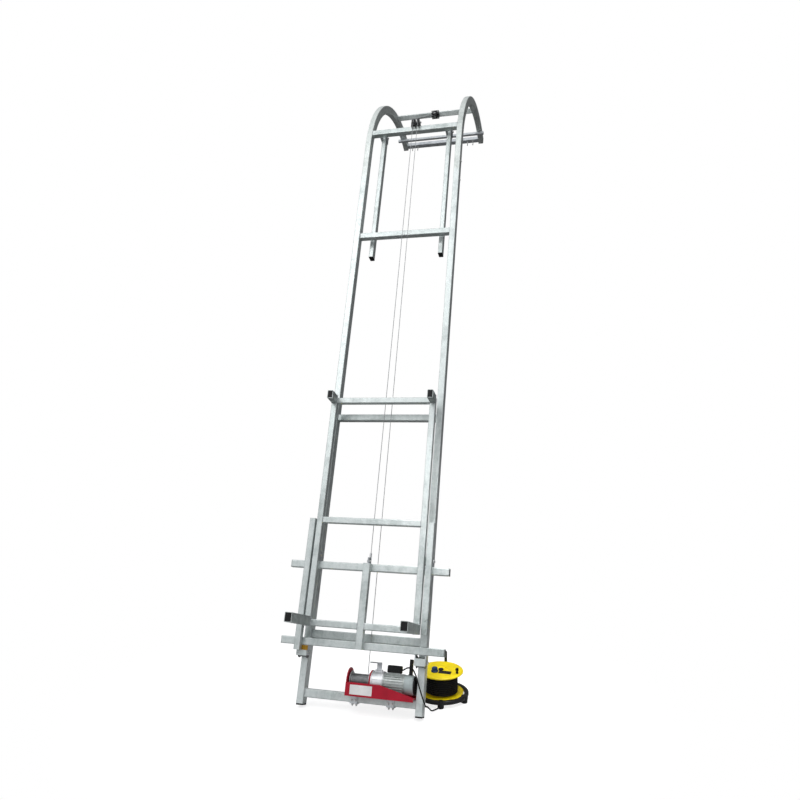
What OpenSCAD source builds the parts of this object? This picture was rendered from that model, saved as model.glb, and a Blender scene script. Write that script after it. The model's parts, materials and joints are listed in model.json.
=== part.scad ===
// Leaning rail hoist with hook head, sliding fork carriage, wire rope winch and cable reel.
// X is to the right, Y to the back, Z up. The origin is where the hooks sit.

/* [Rails] */
// lean of the rails from upright, degrees
lean = 20; // [10:1:30]
// width of a rail tube
rail_w = 40; // [30:1:60]
// depth of a rail tube
rail_d = 60; // [40:1:80]
// wall of the steel tubes
wall = 3; // [2:0.5:5]
// distance between rail centres
rail_gap = 660; // [500:5:800]
// length of the straight rails
rail_len = 3450; // [3000:10:4000]
// straight length of a hook before its bend
hook_straight = 270; // [200:10:600]
// bend radius of the hooks, at the tube centre
hook_r = 800; // [600:10:900]
// angle that the hooks bend through
hook_deg = 99; // [96:1:115]
// length of the plugs inside the rail splices
splice_len = 240; // [150:5:400]
// thickness of the rubber feet
foot_t = 8; // [4:1:15]

/* [Rungs] */
// height of a rung
rung_h = 40; // [30:1:50]
// how far the rungs lie behind the rail fronts
rung_y = 10; // [8:1:20]
// depth of a rung
rung_d = 40; // [30:1:50]
// height of the lower rung and the winch beam
deep_h = 45; // [35:1:60]
// station of the winch beam
beam_z = 33; // [20:1:80]
// station of the lower rung
lower_z = 340; // [250:5:450]
// station of the middle rung
middle_z = 1624; // [1200:2:2000]
// station of the upper rung
upper_z = 2943; // [2500:1:3200]
// height of the front head bar above the start of the bend
head_up = 97; // [40:1:140]
// size of the bar under the hooks
grab_w = 23; // [20:1:40]
// angle of that bar along the bend
grab_deg = 90; // [80:1:92]
// size of the bar at the hook ends
end_w = 36; // [30:1:50]
// distance of an end bar bolt from the hook
end_bolt_in = 45; // [30:1:80]
// distance between the two bolts of a pair
end_bolt_gap = 46; // [35:1:70]
// how far the bar under the hooks sticks out past them
bar_out = 18; // [5:1:40]

/* [Head blocks] */
// diameter of the wire rope
rope_d = 4; // [3:0.5:6]
// distance of the rope in front of the rails
rope_y = 14; // [10:1:20]
// sideways place of the lifting fall
lift_x = -5; // [-20:1:20]
// sideways place of the winch fall at the head
fall_x = 27; // [20:1:40]
// pitch radius of the head sheaves
sheave_r = 24; // [22:1:36]
// width of a sheave
sheave_w = 14; // [10:1:20]
// depth of rim above the rope centre
rim = 4; // [3:0.5:6]
// angle of the rope from the rails towards the rear block
run_deg = 45; // [30:1:50]
// distance from the return sheave to the rear bar
return_gap = 55; // [45:1:80]
// thickness of the block plates
plate_t = 4; // [3:0.5:8]
// radius of the block axles
axle_r = 6; // [4:0.5:8]

/* [Folding legs] */
// distance of a leg from the middle
leg_x = 241; // [200:1:270]
// width of a leg
leg_w = 30; // [25:1:45]
// depth of a leg
leg_d = 50; // [30:1:70]
// length of a leg
leg_len = 1030; // [800:5:1200]
// how far the leg hangs behind the rungs
leg_back = 30; // [2:1:120]

/* [Carriage] */
// size of the cross tubes
cross_w = 40; // [30:1:50]
// gap between rails and cross tubes
cross_gap = 24; // [22:1:40]
// length of the cross tubes
cross_len = 904; // [800:2:1000]
// station of the lower cross tube
cross_lo_z = 299; // [280:1:350]
// station of the upper cross tube
cross_up_z = 713; // [600:1:900]
// size of the carriage frame tubes
bar_w = 35; // [25:1:45]
// distance of an upright from the middle
upright_x = 305; // [280:1:310]
// distance of an outer guide from the middle
outer_x = 348; // [344:1:380]
// bottom of the outer guides
outer_lo_z = 272; // [265:1:290]
// top of the outer guides
outer_up_z = 990; // [900:5:1100]
// station of the fork bar
fork_z = 400; // [380:1:450]
// station of the middle bar
mid_z = 966; // [900:1:1100]
// station of the top bar
top_z = 1697; // [1500:1:1900]
// width of a fork arm
arm_w = 40; // [30:1:50]
// height of a fork arm
arm_h = 50; // [40:1:60]
// length of a fork arm
arm_len = 270; // [150:5:400]
// length of a top arm
stub_len = 80; // [40:5:150]
// width of the centre post
post_w = 40; // [30:1:50]
// radius of a roller
roller_r = 25; // [20:1:30]
// radius of a roller flange
flange_r = 31; // [28:1:36]
// thickness of a roller flange
flange_t = 4; // [3:0.5:6]
// roller centre from its cross tube
roller_off = 36; // [34:1:50]
// thickness of the roller plates
guide_t = 5; // [4:0.5:8]

/* [Winch] */
// left end of the winch
winch_x = -66; // [-90:1:-60]
// length of the winch bed
bed_len = 372; // [300:2:374]
// width of the winch bed
bed_w = 124; // [110:2:140]
// thickness of the bed plate
bed_t = 5; // [3:0.5:8]
// height of the drum axis above the bed
axis_up = 62; // [55:1:70]
// radius of the drum core
core_r = 29.4; // [25:0.1:35]
// radius of the drum flanges
drum_flange_r = 46; // [40:1:52]
// length of the drum between its flanges
drum_len = 99; // [80:1:120]
// rope turns that show on the drum
drum_turns = 20; // [10:1:24]
// pitch of the rope turns
drum_pitch = 4.6; // [4.5:0.1:6]
// radius of the gear case
gear_r = 54; // [48:1:58]
// length of the gear case
gear_len = 67; // [55:1:80]
// radius of the motor fins
motor_r = 52; // [45:1:55]
// length of the finned motor
motor_len = 115; // [100:1:125]
// number of cooling fins
fins = 24; // [12:1:30]
// length of the motor end cover
cover_len = 50; // [40:1:55]
// height of the cable post
cable_post_h = 77; // [60:1:94]

/* [Cable reel] */
// sideways place of the reel
reel_x = 386; // [380:1:500]
// place of the reel behind the feet
reel_y = 330; // [320:1:400]
// height of the reel above the ground
reel_z = 30; // [28:1:50]
// tilt of the reel to the front, degrees
reel_tilt = 2; // [0:1:5]
// radius of the reel discs
disc_r = 124; // [110:1:140]
// thickness of the reel discs
disc_t = 5; // [4:0.5:8]
// diameter of the cable on the reel
cable_d = 10; // [8:0.5:12]
// diameter of the lead from the winch
lead_d = 8; // [6:0.5:9]
// cable turns that show on the reel
reel_turns = 10; // [6:1:12]
// pitch of the cable turns
reel_pitch = 10.6; // [10.5:0.1:13]
// radius at which the cable is wound
wound_r = 89; // [70:1:100]
// thickness of the stand bars
stand_d = 24; // [16:1:26]
// height of the post behind the reel
post_h = 215; // [180:1:300]

/* [Part shown] */
// node to draw, or all

/* [Hidden] */
$fn = 64;
clear = 0.3;
fit = 0.05;
eps = 1;
half = rail_gap / 2;
inner = half - rail_w / 2;
bend_z = rail_len + hook_straight;
head_z = bend_z + head_up;
lift = foot_t * cos(lean) + rail_d * sin(lean);
bend_y = rail_d / 2 + hook_r;
crest_deg = 90 - lean;
crest_r = hook_r - rail_d / 2;
crest_y = bend_y - crest_r * cos(crest_deg);
crest_z = bend_z + crest_r * sin(crest_deg);
seat_y = crest_y * cos(lean) + crest_z * sin(lean);
seat_z = crest_z * cos(lean) - crest_y * sin(lean) + lift;
splice_lo = rail_len - splice_len / 2;
cap_t = 5;
stud_r = 4;
stud_tail = 44;
nut_h = 7;
nut_r = 8;
end_deg = hook_deg - end_w / 2 / hook_r * 180 / PI;
function seat_gap(w) = crest_r - sqrt(crest_r * crest_r - w * w / 4) + fit;
steel = [0.74, 0.77, 0.78];
zinc = [0.66, 0.69, 0.71];
dark = [0.10, 0.10, 0.11];
red = [0.72, 0.08, 0.06];
grey = [0.45, 0.47, 0.50];
yellow = [0.95, 0.76, 0.05];

// head blocks
rope_r = rope_d / 2;
fsheave_y = sheave_r - rope_y;
rim_r = sheave_r + rim;
fsheave_z = head_z + rung_h + rim_r + eps;
return_r = (fall_x - lift_x) / 2;
return_x = (fall_x + lift_x) / 2;
run_y = fsheave_y - sheave_r * cos(run_deg);
run_z = fsheave_z + sheave_r * sin(run_deg);
off_y = run_y - bend_y;
off_z = run_z - bend_z;
along = off_y * sin(run_deg) + off_z * cos(run_deg);
run_len = sqrt(along * along - off_y * off_y - off_z * off_z + hook_r * hook_r) - along;
back_y = run_y + run_len * sin(run_deg);
back_z = run_z + run_len * cos(run_deg);
pull_len = run_len - return_gap;
block_w = sheave_w + 2 * eps;
cheek_w = 34;
cheek_top = 4;
cheek_front = 18;
cheek_low = 18;
rear_w = 60;
rear_out = 22;
rear_h = 64;
axle_out = 5;
groove_side = 2;

// carriage layers
cross_y = -cross_gap - cross_w;
layer_y = cross_y - bar_w;
upright_top = top_z + bar_w;
cross_up_top = cross_up_z + cross_w;
roller_y = -roller_r - clear;
roller_up_z = cross_up_top + roller_off;
roller_lo_z = cross_lo_z - roller_off;
catch_w = 55;
catch_h = 25;
catch_x = -half + guide_t;
flange_x = rail_w / 2 + 2 * clear;
plate_x = flange_x + flange_t + eps;
plate_out = 16;
nut_out = 4;
lug_set = 10;
lug_clear = 6;
guide_set = 4;
guide_clear = 8;
lug_t = 8;
lug_h = 37;
ferrule_r = 5;
ferrule_h = 30;
lift_bottom = cross_up_top + lug_h + ferrule_h;

// winch
plate_gap = 6;
end_gap = 4;
wind_gap = 0.6;
pivot_up = 4.6;
flange_w = 4;
beam_top = beam_z + deep_h;
bed_top = beam_top + bed_t;
wind_r = core_r + rope_r + wind_gap;
axis_y = wind_r - rope_y;
axis_z = bed_top + axis_up;
bed_y = axis_y - bed_w / 2;
side_t = 6;
drum_x = winch_x + side_t + plate_gap;
drum_end = drum_x + drum_len + 2 * flange_w;
mid_x = drum_end + end_gap;
gear_x = mid_x + side_t;
motor_x = gear_x + gear_len;
cover_x = motor_x + motor_len;
guard_x = cover_x + cover_len;
shaft_r = 8;
skirt_t = 4;
skirt_low = 12;
skirt_end = 10;
skirt_top = 56;
saddle_t = 6;
saddle_w = 42;
saddle_in = 16;
saddle_gap = 202;
saddle_left = winch_x + saddle_in;
saddle_right = saddle_left + saddle_gap;
mid_less = 4;
guard_t = 6;
fall_in = 98;
fall_up = 24;
fall_low_x = drum_x + fall_in;
fall_low_z = axis_z + fall_up;
shaft_out = 8;
shaft_in = 34;
gear_at = 14;
gear_w = 14;
gear_gap = 12;
case_t = 6;
rotor_shaft_r = 6;
lug_at = 12;
lug_w = 40;
lug_d = 20;
lug_up = 9;
pivot_r = 2;
pivot_z = axis_z + gear_r + pivot_up;
fin_h = 5;
fin_t = 4;
fin_in = 4;
pad_at = 16;
pad_w = 70;
pad_d = 28;
pad_up = 2;
stator_less = 13;
stator_r = motor_r - stator_less;
rotor_gap = 4;
rotor_end = 14;
post_in = 34;
post_x = guard_x - post_in;
post_d = 18;
post_out = 3;
box_w = 76;
box_d = 40;
box_h = 36;
lever_x = gear_x + lug_at + case_t + eps;
lever_w = 26;
lever_r = 3.2;
lever_t = 5;
lever_h = 38;
lever_reach = 40;
alloy = [0.78, 0.79, 0.80];

// reel
wound_gap = 0.7;
core_gap = 1.2;
disc_gap = reel_pitch * reel_turns + cable_d + 2 * wound_gap;
reel_h = disc_gap + 2 * disc_t;
reel_core_r = wound_r - cable_d / 2 - core_gap;
hub_r = 10;
hub_gap = 1;
boss_r = 30;
stand_post_r = 8;
foot_r = 20;
foot_angles = [-80, -15, 90, 195];
ring_gap = 6;
ring_z = 18;
foot_less = 2;
ring_r = disc_r + ring_gap + stand_d / 2;
spoke_h = 10;
knob_x = 96;
knob_y = -30;
knob_r = 9;
knob_h = 30;
wound_z = disc_t + wound_gap + cable_d / 2;

// Shared shapes

module stood() translate([0, -seat_y, -seat_z]) children();

module leaned() stood() translate([0, 0, lift]) rotate([-lean, 0, 0]) children();

module both() for (side = [-1, 1]) translate([side * half, 0, 0]) children();

// square tube along X, from x0 to x1
module tube_x(x0, x1, y, z, d, h) {
    translate([x0, y, z])
        difference() {
            cube([x1 - x0, d, h]);
            translate([-eps, wall, wall])
                cube([x1 - x0 + 2 * eps, d - 2 * wall, h - 2 * wall]);
        }
}

// square tube along the rails, centred on x
module tube_z(x, y, z0, z1, w, d) {
    translate([x - w / 2, y, z0])
        difference() {
            cube([w, d, z1 - z0]);
            translate([wall, wall, -eps])
                cube([w - 2 * wall, d - 2 * wall, z1 - z0 + 2 * eps]);
        }
}

// square tube to the front, from y0 back to y1, centred on x
module tube_y(x, y0, y1, z, w, h) {
    translate([x - w / 2, y0, z])
        difference() {
            cube([w, y1 - y0, h]);
            translate([wall, -eps, wall])
                cube([w - 2 * wall, y1 - y0 + 2 * eps, h - 2 * wall]);
        }
}

// round bar along X
module rod_x(x0, x1, y, z, r) translate([x0, y, z]) rotate([0, 90, 0]) cylinder(h = x1 - x0, r = r);

// place on the hook bend, Y out of the bend and Z along the tube
module on_bend(deg) translate([0, bend_y, bend_z]) rotate([-deg, 0, 0]) translate([0, -hook_r, 0]) children();

module hook(x) {
    translate([x, 0, 0]) {
        tube_z(0, 0, rail_len, bend_z, rail_w, rail_d);
        translate([0, bend_y, bend_z])
            rotate([90, 0, -90])
                rotate_extrude(angle = hook_deg, $fn = 180)
                    difference() {
                        translate([hook_r - rail_d / 2, -rail_w / 2])
                            square([rail_d, rail_w]);
                        translate([hook_r - rail_d / 2 + wall, wall - rail_w / 2])
                            square([rail_d - 2 * wall, rail_w - 2 * wall]);
                    }
    }
}

// unbroken tube of n sides along points
function unit(v) = v / norm(v);
function side_of(t) = abs(t[2]) > 0.9 ? unit(cross(t, [1, 0, 0])) : unit(cross(t, [0, 0, 1]));
function way(p, i) = unit(p[min(i + 1, len(p) - 1)] - p[max(i - 1, 0)]);
function carried(p, i, u) = unit(u - way(p, i) * (u * way(p, i)));
function sides(p, i = 0, u = [1, 0, 0], out = []) =
    i == len(p) ? out :
    let (v = i == 0 ? side_of(way(p, 0)) : carried(p, i, u)) sides(p, i + 1, v, concat(out, [v]));

module swept(p, r, n) {
    s = sides(p);
    rings = len(p);
    pts = [for (i = [0:rings - 1]) let (t = way(p, i), a = s[i], b = cross(t, a))
        for (k = [0:n - 1]) p[i] + r * (cos(360 * k / n) * a + sin(360 * k / n) * b)];
    walls = [for (i = [0:rings - 2]) for (k = [0:n - 1]) let (m = (k + 1) % n)
        each [[i * n + k, (i + 1) * n + m, i * n + m], [i * n + k, (i + 1) * n + k, (i + 1) * n + m]]];
    first = [for (k = [1:n - 2]) [0, k, k + 1]];
    last = [for (k = [1:n - 2]) [(rings - 1) * n, (rings - 1) * n + k + 1, (rings - 1) * n + k]];
    polyhedron(points = pts, faces = concat(walls, first, last));
}

// turns of a winding about Z, with a straight lead of one diameter at each end
function ring(r, a, z) = [r * cos(a), r * sin(a), z];
function lead(r, a, z, d) = ring(r, a, z) + d * [-sin(a), cos(a), 0];
loop_rings = 24;
function turns(count, pitch, r, d, from, way) = concat(
    [lead(r, from, 0, -way * d)],
    [for (i = [0:loop_rings * count]) ring(r, from + way * 360 / loop_rings * i, pitch * i / loop_rings)],
    [lead(r, from, pitch * count, way * d)]);

echo(drum_turn_gap = drum_pitch - rope_d, reel_turn_gap = reel_pitch - cable_d);

// Rails and hooks

module left_rail() color(steel) leaned() tube_z(-half, 0, 0, rail_len, rail_w, rail_d);

module right_rail() color(steel) leaned() tube_z(half, 0, 0, rail_len, rail_w, rail_d);

module left_hook() color(steel) leaned() hook(-half);

module right_hook() color(steel) leaned() hook(half);

module rail_splices() color(zinc) leaned() both()
    translate([wall - rail_w / 2, wall, splice_lo])
        cube([rail_w - 2 * wall, rail_d - 2 * wall, splice_len]);

module rubber_feet() color(dark) leaned() both() translate([-rail_w / 2, 0, -foot_t]) cube([rail_w, rail_d, foot_t]);

module hook_caps() color(dark) leaned() both() on_bend(hook_deg) translate([-rail_w / 2, -rail_d / 2, 0]) cube([rail_w, rail_d, cap_t]);

module upper_rung() color(steel) leaned() tube_x(-inner, inner, rung_y, upper_z, rung_d, rung_h);

module middle_rung() color(steel) leaned() tube_x(-inner, inner, rung_y, middle_z, rung_d, rung_h);

module lower_rung() color(steel) leaned() tube_x(-inner, inner, rung_y, lower_z, rung_d, deep_h);

module winch_beam() color(steel) leaned() tube_x(-inner, inner, rung_y, beam_z, rung_d, deep_h);

module front_head_bar() color(steel) leaned() tube_x(-inner, inner, rung_y, head_z, rung_d, rung_h);

module rear_head_bar() color(steel) leaned()
    translate([0, back_y, back_z])
        rotate([-run_deg, 0, 0])
            tube_x(-inner, inner, -rung_d / 2, -rung_h / 2, rung_d, rung_h);

module grab_bar() color(zinc) leaned()
    on_bend(grab_deg)
        tube_x(-half - rail_w / 2 - bar_out, half + rail_w / 2 + bar_out,
            rail_d / 2 + seat_gap(grab_w), -grab_w / 2, grab_w, grab_w);

// places of the bolts near both ends of the end bar
module at_end_bolts() for (side = [-1, 1]) for (x = [end_bolt_in, end_bolt_in + end_bolt_gap])
    translate([side * (inner - x), 0, 0]) children();

module end_bar() color(zinc) leaned()
    on_bend(end_deg)
        difference() {
            tube_x(-inner, inner, -end_w / 2, -end_w / 2, end_w, end_w);
            at_end_bolts()
                translate([0, -end_w, 0])
                    rotate([-90, 0, 0])
                        cylinder(h = 2 * end_w, r = stud_r + fit);
        }

// bolt through the end bar, with a long tail below its nut
module end_bolt() rotate([-90, 0, 0]) {
    translate([0, 0, -end_w / 2 - nut_h])
        cylinder(h = nut_h, r = nut_r);
    translate([0, 0, -end_w / 2 - nut_h])
        cylinder(h = nut_h + end_w + stud_tail, r = stud_r);
    translate([0, 0, end_w / 2])
        cylinder(h = nut_h, r = nut_r);
}

module end_bar_bolts() color(zinc) leaned() on_bend(end_deg) at_end_bolts() end_bolt();

// Head blocks

module sheave(r) {
    rotate([0, 90, 0])
        rotate_extrude()
            polygon([[axle_r + fit, -sheave_w / 2], [r + rim, -sheave_w / 2],
                [r + rim, -rope_r - groove_side], [r - rope_r - 2 * clear, -rope_r - clear],
                [r - rope_r - 2 * clear, rope_r + clear], [r + rim, rope_r + groove_side],
                [r + rim, sheave_w / 2], [axle_r + fit, sheave_w / 2]]);
}

module right_sheave() color(dark) leaned() translate([fall_x, fsheave_y, fsheave_z]) sheave(sheave_r);

module left_sheave() color(dark) leaned() translate([lift_x, fsheave_y, fsheave_z]) sheave(sheave_r);

module front_plate() {
    translate([0, rung_y, head_z + rung_h])
        cube([plate_t, cheek_w, fsheave_z - head_z - rung_h + cheek_top]);
    translate([0, -cheek_front, head_z + cheek_low])
        cube([plate_t, cheek_front + rung_y, fsheave_z - head_z - cheek_low + cheek_top]);
}

module front_plates() leaned()
    for (x = [lift_x - block_w / 2 - plate_t, return_x - plate_t / 2, fall_x + block_w / 2])
        difference() {
            translate([x, 0, 0])
                front_plate();
            rod_x(x - eps, x + plate_t + eps, fsheave_y, fsheave_z, axle_r + fit);
        }

// frame of the rear block: Z along the rope to the rear bar, Y square to the rope plane
module at_return() leaned()
    translate([return_x, run_y, run_z]) rotate([-run_deg, 0, 0]) translate([0, 0, pull_len]) children();

module return_sheave() color(dark) at_return() rotate([0, 0, 90]) sheave(return_r);

module rear_plates() at_return()
    for (y = [-block_w / 2 - plate_t, block_w / 2])
        difference() {
            translate([-rear_w / 2, y, -rear_out])
                cube([rear_w, plate_t, return_gap - rung_h / 2 - plate_t + rear_out]);
            translate([0, y - eps, 0])
                rotate([-90, 0, 0])
                    cylinder(h = plate_t + 2 * eps, r = axle_r + fit);
        }

module rear_base() at_return()
    translate([-rear_w / 2, -rear_h / 2, return_gap - rung_h / 2 - fit - plate_t])
        cube([rear_w, rear_h, plate_t]);

module block_plates() color(dark) {
    front_plates();
    rear_plates();
    rear_base();
}

module sheave_axles() color(zinc) {
    leaned() rod_x(lift_x - block_w / 2 - plate_t - axle_out, fall_x + block_w / 2 + plate_t + axle_out,
        fsheave_y, fsheave_z, axle_r);
    at_return()
        translate([0, -block_w / 2 - plate_t - axle_out, 0])
            rotate([-90, 0, 0])
                cylinder(h = block_w + 2 * (plate_t + axle_out), r = axle_r);
}

// Folding legs

rung_back = rung_y + rung_d;
leg_y = rung_back + leg_back;
hinge_y = leg_y + leg_d / 2;
hinge_z = head_z + rung_h;
ear_gap = 1;
ear_short = 6;
ear_up = 14;
pin_out = 9;
leg_head = 10;

module leg_ears(x) {
    for (side = [-1, 1])
        difference() {
            translate([x + side * (leg_w / 2 + ear_gap + plate_t / 2) - plate_t / 2, rung_back, head_z])
                cube([plate_t, leg_back + leg_d - ear_short, rung_h + ear_up]);
            rod_x(x - leg_w, x + leg_w, hinge_y, hinge_z, axle_r + fit);
        }
}

module leg_brackets() color(zinc) leaned() for (side = [-1, 1]) leg_ears(side * leg_x);

module leg_pins() color(zinc) leaned() for (side = [-1, 1])
    rod_x(side * leg_x - leg_w / 2 - pin_out, side * leg_x + leg_w / 2 + pin_out, hinge_y, hinge_z, axle_r);

module leg(x) {
    leg_top = hinge_z + leg_head;
    difference() {
        tube_z(x, leg_y, leg_top - leg_len, leg_top, leg_w, leg_d);
        rod_x(x - leg_w, x + leg_w, hinge_y, hinge_z, axle_r + fit);
    }
}

module left_leg() color(steel) leaned() leg(-leg_x);

module right_leg() color(steel) leaned() leg(leg_x);

module leg_cap(x) translate([x - leg_w / 2, leg_y, hinge_z + leg_head - leg_len - cap_t]) cube([leg_w, leg_d, cap_t]);

module left_leg_cap() color(dark) leaned() leg_cap(-leg_x);

module right_leg_cap() color(dark) leaned() leg_cap(leg_x);

// Carriage

module cross_tubes() color(steel) leaned() for (z = [cross_lo_z, cross_up_z])
    tube_x(-cross_len / 2, cross_len / 2, cross_y, z, cross_w, cross_w);

// the left guide reaches down to the catch, the right one ends at the fork bar
module outer_guides() color(steel) leaned() {
    tube_z(-outer_x, layer_y, outer_lo_z, outer_up_z, bar_w, bar_w);
    tube_z(outer_x, layer_y, fork_z, outer_up_z, bar_w, bar_w);
}

module uprights() color(steel) leaned() for (side = [-1, 1])
    tube_z(side * upright_x, layer_y, fork_z, upright_top, bar_w, bar_w);

module frame_bars() color(steel) leaned() {
    reach = upright_x - bar_w / 2;
    tube_x(-reach, reach, layer_y, top_z, bar_w, bar_w);
    tube_x(-reach, reach, layer_y, mid_z, bar_w, bar_w);
    tube_x(-reach, -post_w / 2, layer_y, fork_z, bar_w, bar_w);
    tube_x(post_w / 2, reach, layer_y, fork_z, bar_w, bar_w);
}

module centre_post() color(steel) leaned() tube_z(0, layer_y, cross_lo_z, cross_up_top, post_w, bar_w);

module fork_arms() color(steel) leaned() for (side = [-1, 1])
    tube_y(side * upright_x, layer_y - arm_len, layer_y, fork_z, arm_w, arm_h);

module top_arms() color(steel) leaned() for (side = [-1, 1])
    tube_y(side * upright_x, layer_y - stub_len, layer_y, top_z, bar_w, arm_h);

module arm_caps() color(dark) leaned() for (side = [-1, 1]) {
    translate([side * upright_x - arm_w / 2, layer_y - arm_len - cap_t, fork_z])
        cube([arm_w, cap_t, arm_h]);
    translate([side * upright_x - bar_w / 2, layer_y - stub_len - cap_t, top_z])
        cube([bar_w, cap_t, arm_h]);
    translate([side * (cross_len / 2 + cap_t / 2) - cap_t / 2, cross_y, cross_lo_z])
        cube([cap_t, cross_w, cross_w]);
    translate([side * (cross_len / 2 + cap_t / 2) - cap_t / 2, cross_y, cross_up_z])
        cube([cap_t, cross_w, cross_w]);
}

module rope_anchor() color(zinc) leaned() {
    translate([lift_x - lug_t / 2, cross_y + lug_set, cross_up_top])
        cube([lug_t, -cross_y - lug_set - lug_clear, lug_h]);
    translate([lift_x, -rope_y, cross_up_top + lug_h])
        cylinder(h = ferrule_h, r = ferrule_r);
}

module roller_plate(x, z, side) {
    low = side > 0 ? cross_up_top : roller_lo_z - plate_out;
    difference() {
        translate([x, cross_y + guide_set, low])
            cube([guide_t, -cross_y - guide_set - guide_clear, roller_off + plate_out]);
        rod_x(x - eps, x + guide_t + eps, roller_y, z, axle_r + fit);
    }
}

module roller_plates() color(zinc) leaned() {
    both() for (x = [-plate_x - guide_t, plate_x]) {
        roller_plate(x, roller_up_z, 1);
        roller_plate(x, roller_lo_z, -1);
    }
    translate([catch_x - catch_w / 2, cross_y, cross_lo_z - fit - catch_h])
        cube([catch_w, guide_t, catch_h]);
}

module roller_axles() color(zinc) leaned() both() for (z = [roller_lo_z, roller_up_z])
    rod_x(-plate_x - guide_t - nut_out, plate_x + guide_t + nut_out, roller_y, z, axle_r);

module roller(x, z) leaned()
    translate([x, roller_y, z])
        rotate([0, 90, 0])
            rotate_extrude()
                polygon([[axle_r + fit, -flange_x - flange_t], [flange_r, -flange_x - flange_t],
                    [flange_r, -flange_x], [roller_r, -flange_x], [roller_r, flange_x],
                    [flange_r, flange_x], [flange_r, flange_x + flange_t], [axle_r + fit, flange_x + flange_t]]);

module left_upper_roller() color(dark) roller(-half, roller_up_z);

module right_upper_roller() color(dark) roller(half, roller_up_z);

module left_lower_roller() color(dark) roller(-half, roller_lo_z);

module right_lower_roller() color(dark) roller(half, roller_lo_z);

// Winch

module winch_bed() color(red) leaned() translate([winch_x, bed_y, beam_top]) cube([bed_len, bed_w, bed_t]);

// standing plate with a round top and the shaft hole
module side_plate(x, r) {
    difference() {
        translate([x, axis_y, axis_z])
            rotate([90, 0, 90])
                linear_extrude(height = side_t)
                    difference() {
                        union() {
                            circle(r = r);
                            translate([-r, -axis_up])
                                square([2 * r, axis_up]);
                        }
                        circle(r = shaft_r + fit);
                    }
    }
}

module winch_plates() color(red) leaned() {
    side_plate(winch_x, bed_w / 2);
    side_plate(mid_x, bed_w / 2 - mid_less);
}

module winch_skirts() color(red) leaned() for (y = [bed_y, bed_y + bed_w + skirt_t])
    translate([winch_x, y, beam_top])
        rotate([90, 0, 0])
            linear_extrude(height = skirt_t)
                polygon([[0, -skirt_low], [bed_len, -skirt_low], [bed_len, skirt_end], [bed_len / 2, skirt_top],
                    [0, skirt_top]]);

module beam_saddles() color(zinc) leaned() for (x = [saddle_left, saddle_right])
    translate([x, rung_y - saddle_t, beam_z - saddle_t])
        difference() {
            cube([saddle_w, rung_d + 2 * saddle_t, deep_h + saddle_t]);
            translate([-eps, saddle_t, saddle_t])
                cube([saddle_w + 2 * eps, rung_d, deep_h + eps]);
        }

module drum() color(grey) leaned() {
    rod_x(drum_x, drum_end, axis_y, axis_z, core_r);
    rod_x(drum_x, drum_x + flange_w, axis_y, axis_z, drum_flange_r);
    rod_x(drum_end - flange_w, drum_end, axis_y, axis_z, drum_flange_r);
    rod_x(winch_x - shaft_out, gear_x + shaft_in, axis_y, axis_z, shaft_r);
    rod_x(gear_x + gear_at, gear_x + gear_at + gear_w, axis_y, axis_z, gear_r - gear_gap);
}

module drum_winding() color(zinc) leaned()
    translate([drum_x + (drum_len + 2 * flange_w - drum_turns * drum_pitch) / 2, axis_y, axis_z])
        rotate([0, 90, 0])
            swept(turns(drum_turns, drum_pitch, wind_r, rope_d, 0, 1), rope_r, 6);

module gear_case() color(alloy) leaned() {
    lug_x = gear_x + lug_at;
    difference() {
        union() {
            rod_x(gear_x, motor_x, axis_y, axis_z, gear_r);
            translate([lug_x, axis_y - lug_d / 2, axis_z])
                cube([lug_w, lug_d, gear_r + lug_up]);
        }
        rod_x(gear_x - eps, motor_x - case_t, axis_y, axis_z, gear_r - case_t);
        rod_x(gear_x, motor_x + eps, axis_y, axis_z, rotor_shaft_r + fit);
        translate([lug_x + case_t, axis_y - lug_d / 2 - eps, axis_z + gear_r + eps])
            cube([lug_w - 2 * case_t, lug_d + 2 * eps, lug_up]);
    }
    rod_x(lug_x, lug_x + lug_w, axis_y, pivot_z, pivot_r);
}

module motor_shell() color(grey) leaned()
    difference() {
        union() {
            rod_x(motor_x, cover_x, axis_y, axis_z, motor_r - fin_h);
            for (i = [0:fins - 1])
                translate([motor_x + fin_in, axis_y, axis_z])
                    rotate([i * 360 / fins, 0, 0])
                        translate([0, -fin_t / 2, 0])
                            cube([motor_len - 2 * fin_in, fin_t, motor_r]);
            translate([motor_x + pad_at, axis_y - pad_d / 2, axis_z])
                cube([pad_w, pad_d, motor_r + pad_up]);
        }
        rod_x(motor_x - eps, cover_x + eps, axis_y, axis_z, stator_r);
    }

module motor_rotor() color(zinc) leaned() {
    rod_x(motor_x + rotor_end, cover_x - rotor_end, axis_y, axis_z, stator_r - rotor_gap);
    rod_x(gear_x + shaft_in + rotor_gap, cover_x + rotor_end, axis_y, axis_z, rotor_shaft_r);
}

module motor_cover() color(grey) leaned()
    difference() {
        union() {
            rod_x(cover_x, guard_x, axis_y, axis_z, motor_r - pad_up);
            rod_x(guard_x, guard_x + guard_t, axis_y, axis_z, motor_r - fin_h);
            translate([post_x - post_out, axis_y - post_d / 2 - post_out, axis_z])
                cube([post_d + 2 * post_out, post_d + 2 * post_out, motor_r]);
            translate([post_x, axis_y - post_d / 2, axis_z + motor_r])
                cube([post_d, post_d, cable_post_h]);
        }
        rod_x(cover_x - eps, guard_x - case_t, axis_y, axis_z, motor_r - 2 * fin_h);
    }

module capacitor_box() color(dark) leaned()
    translate([motor_x + pad_at - pad_up, axis_y - box_d / 2, axis_z + motor_r + pad_up]) cube([box_w, box_d, box_h]);

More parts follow.
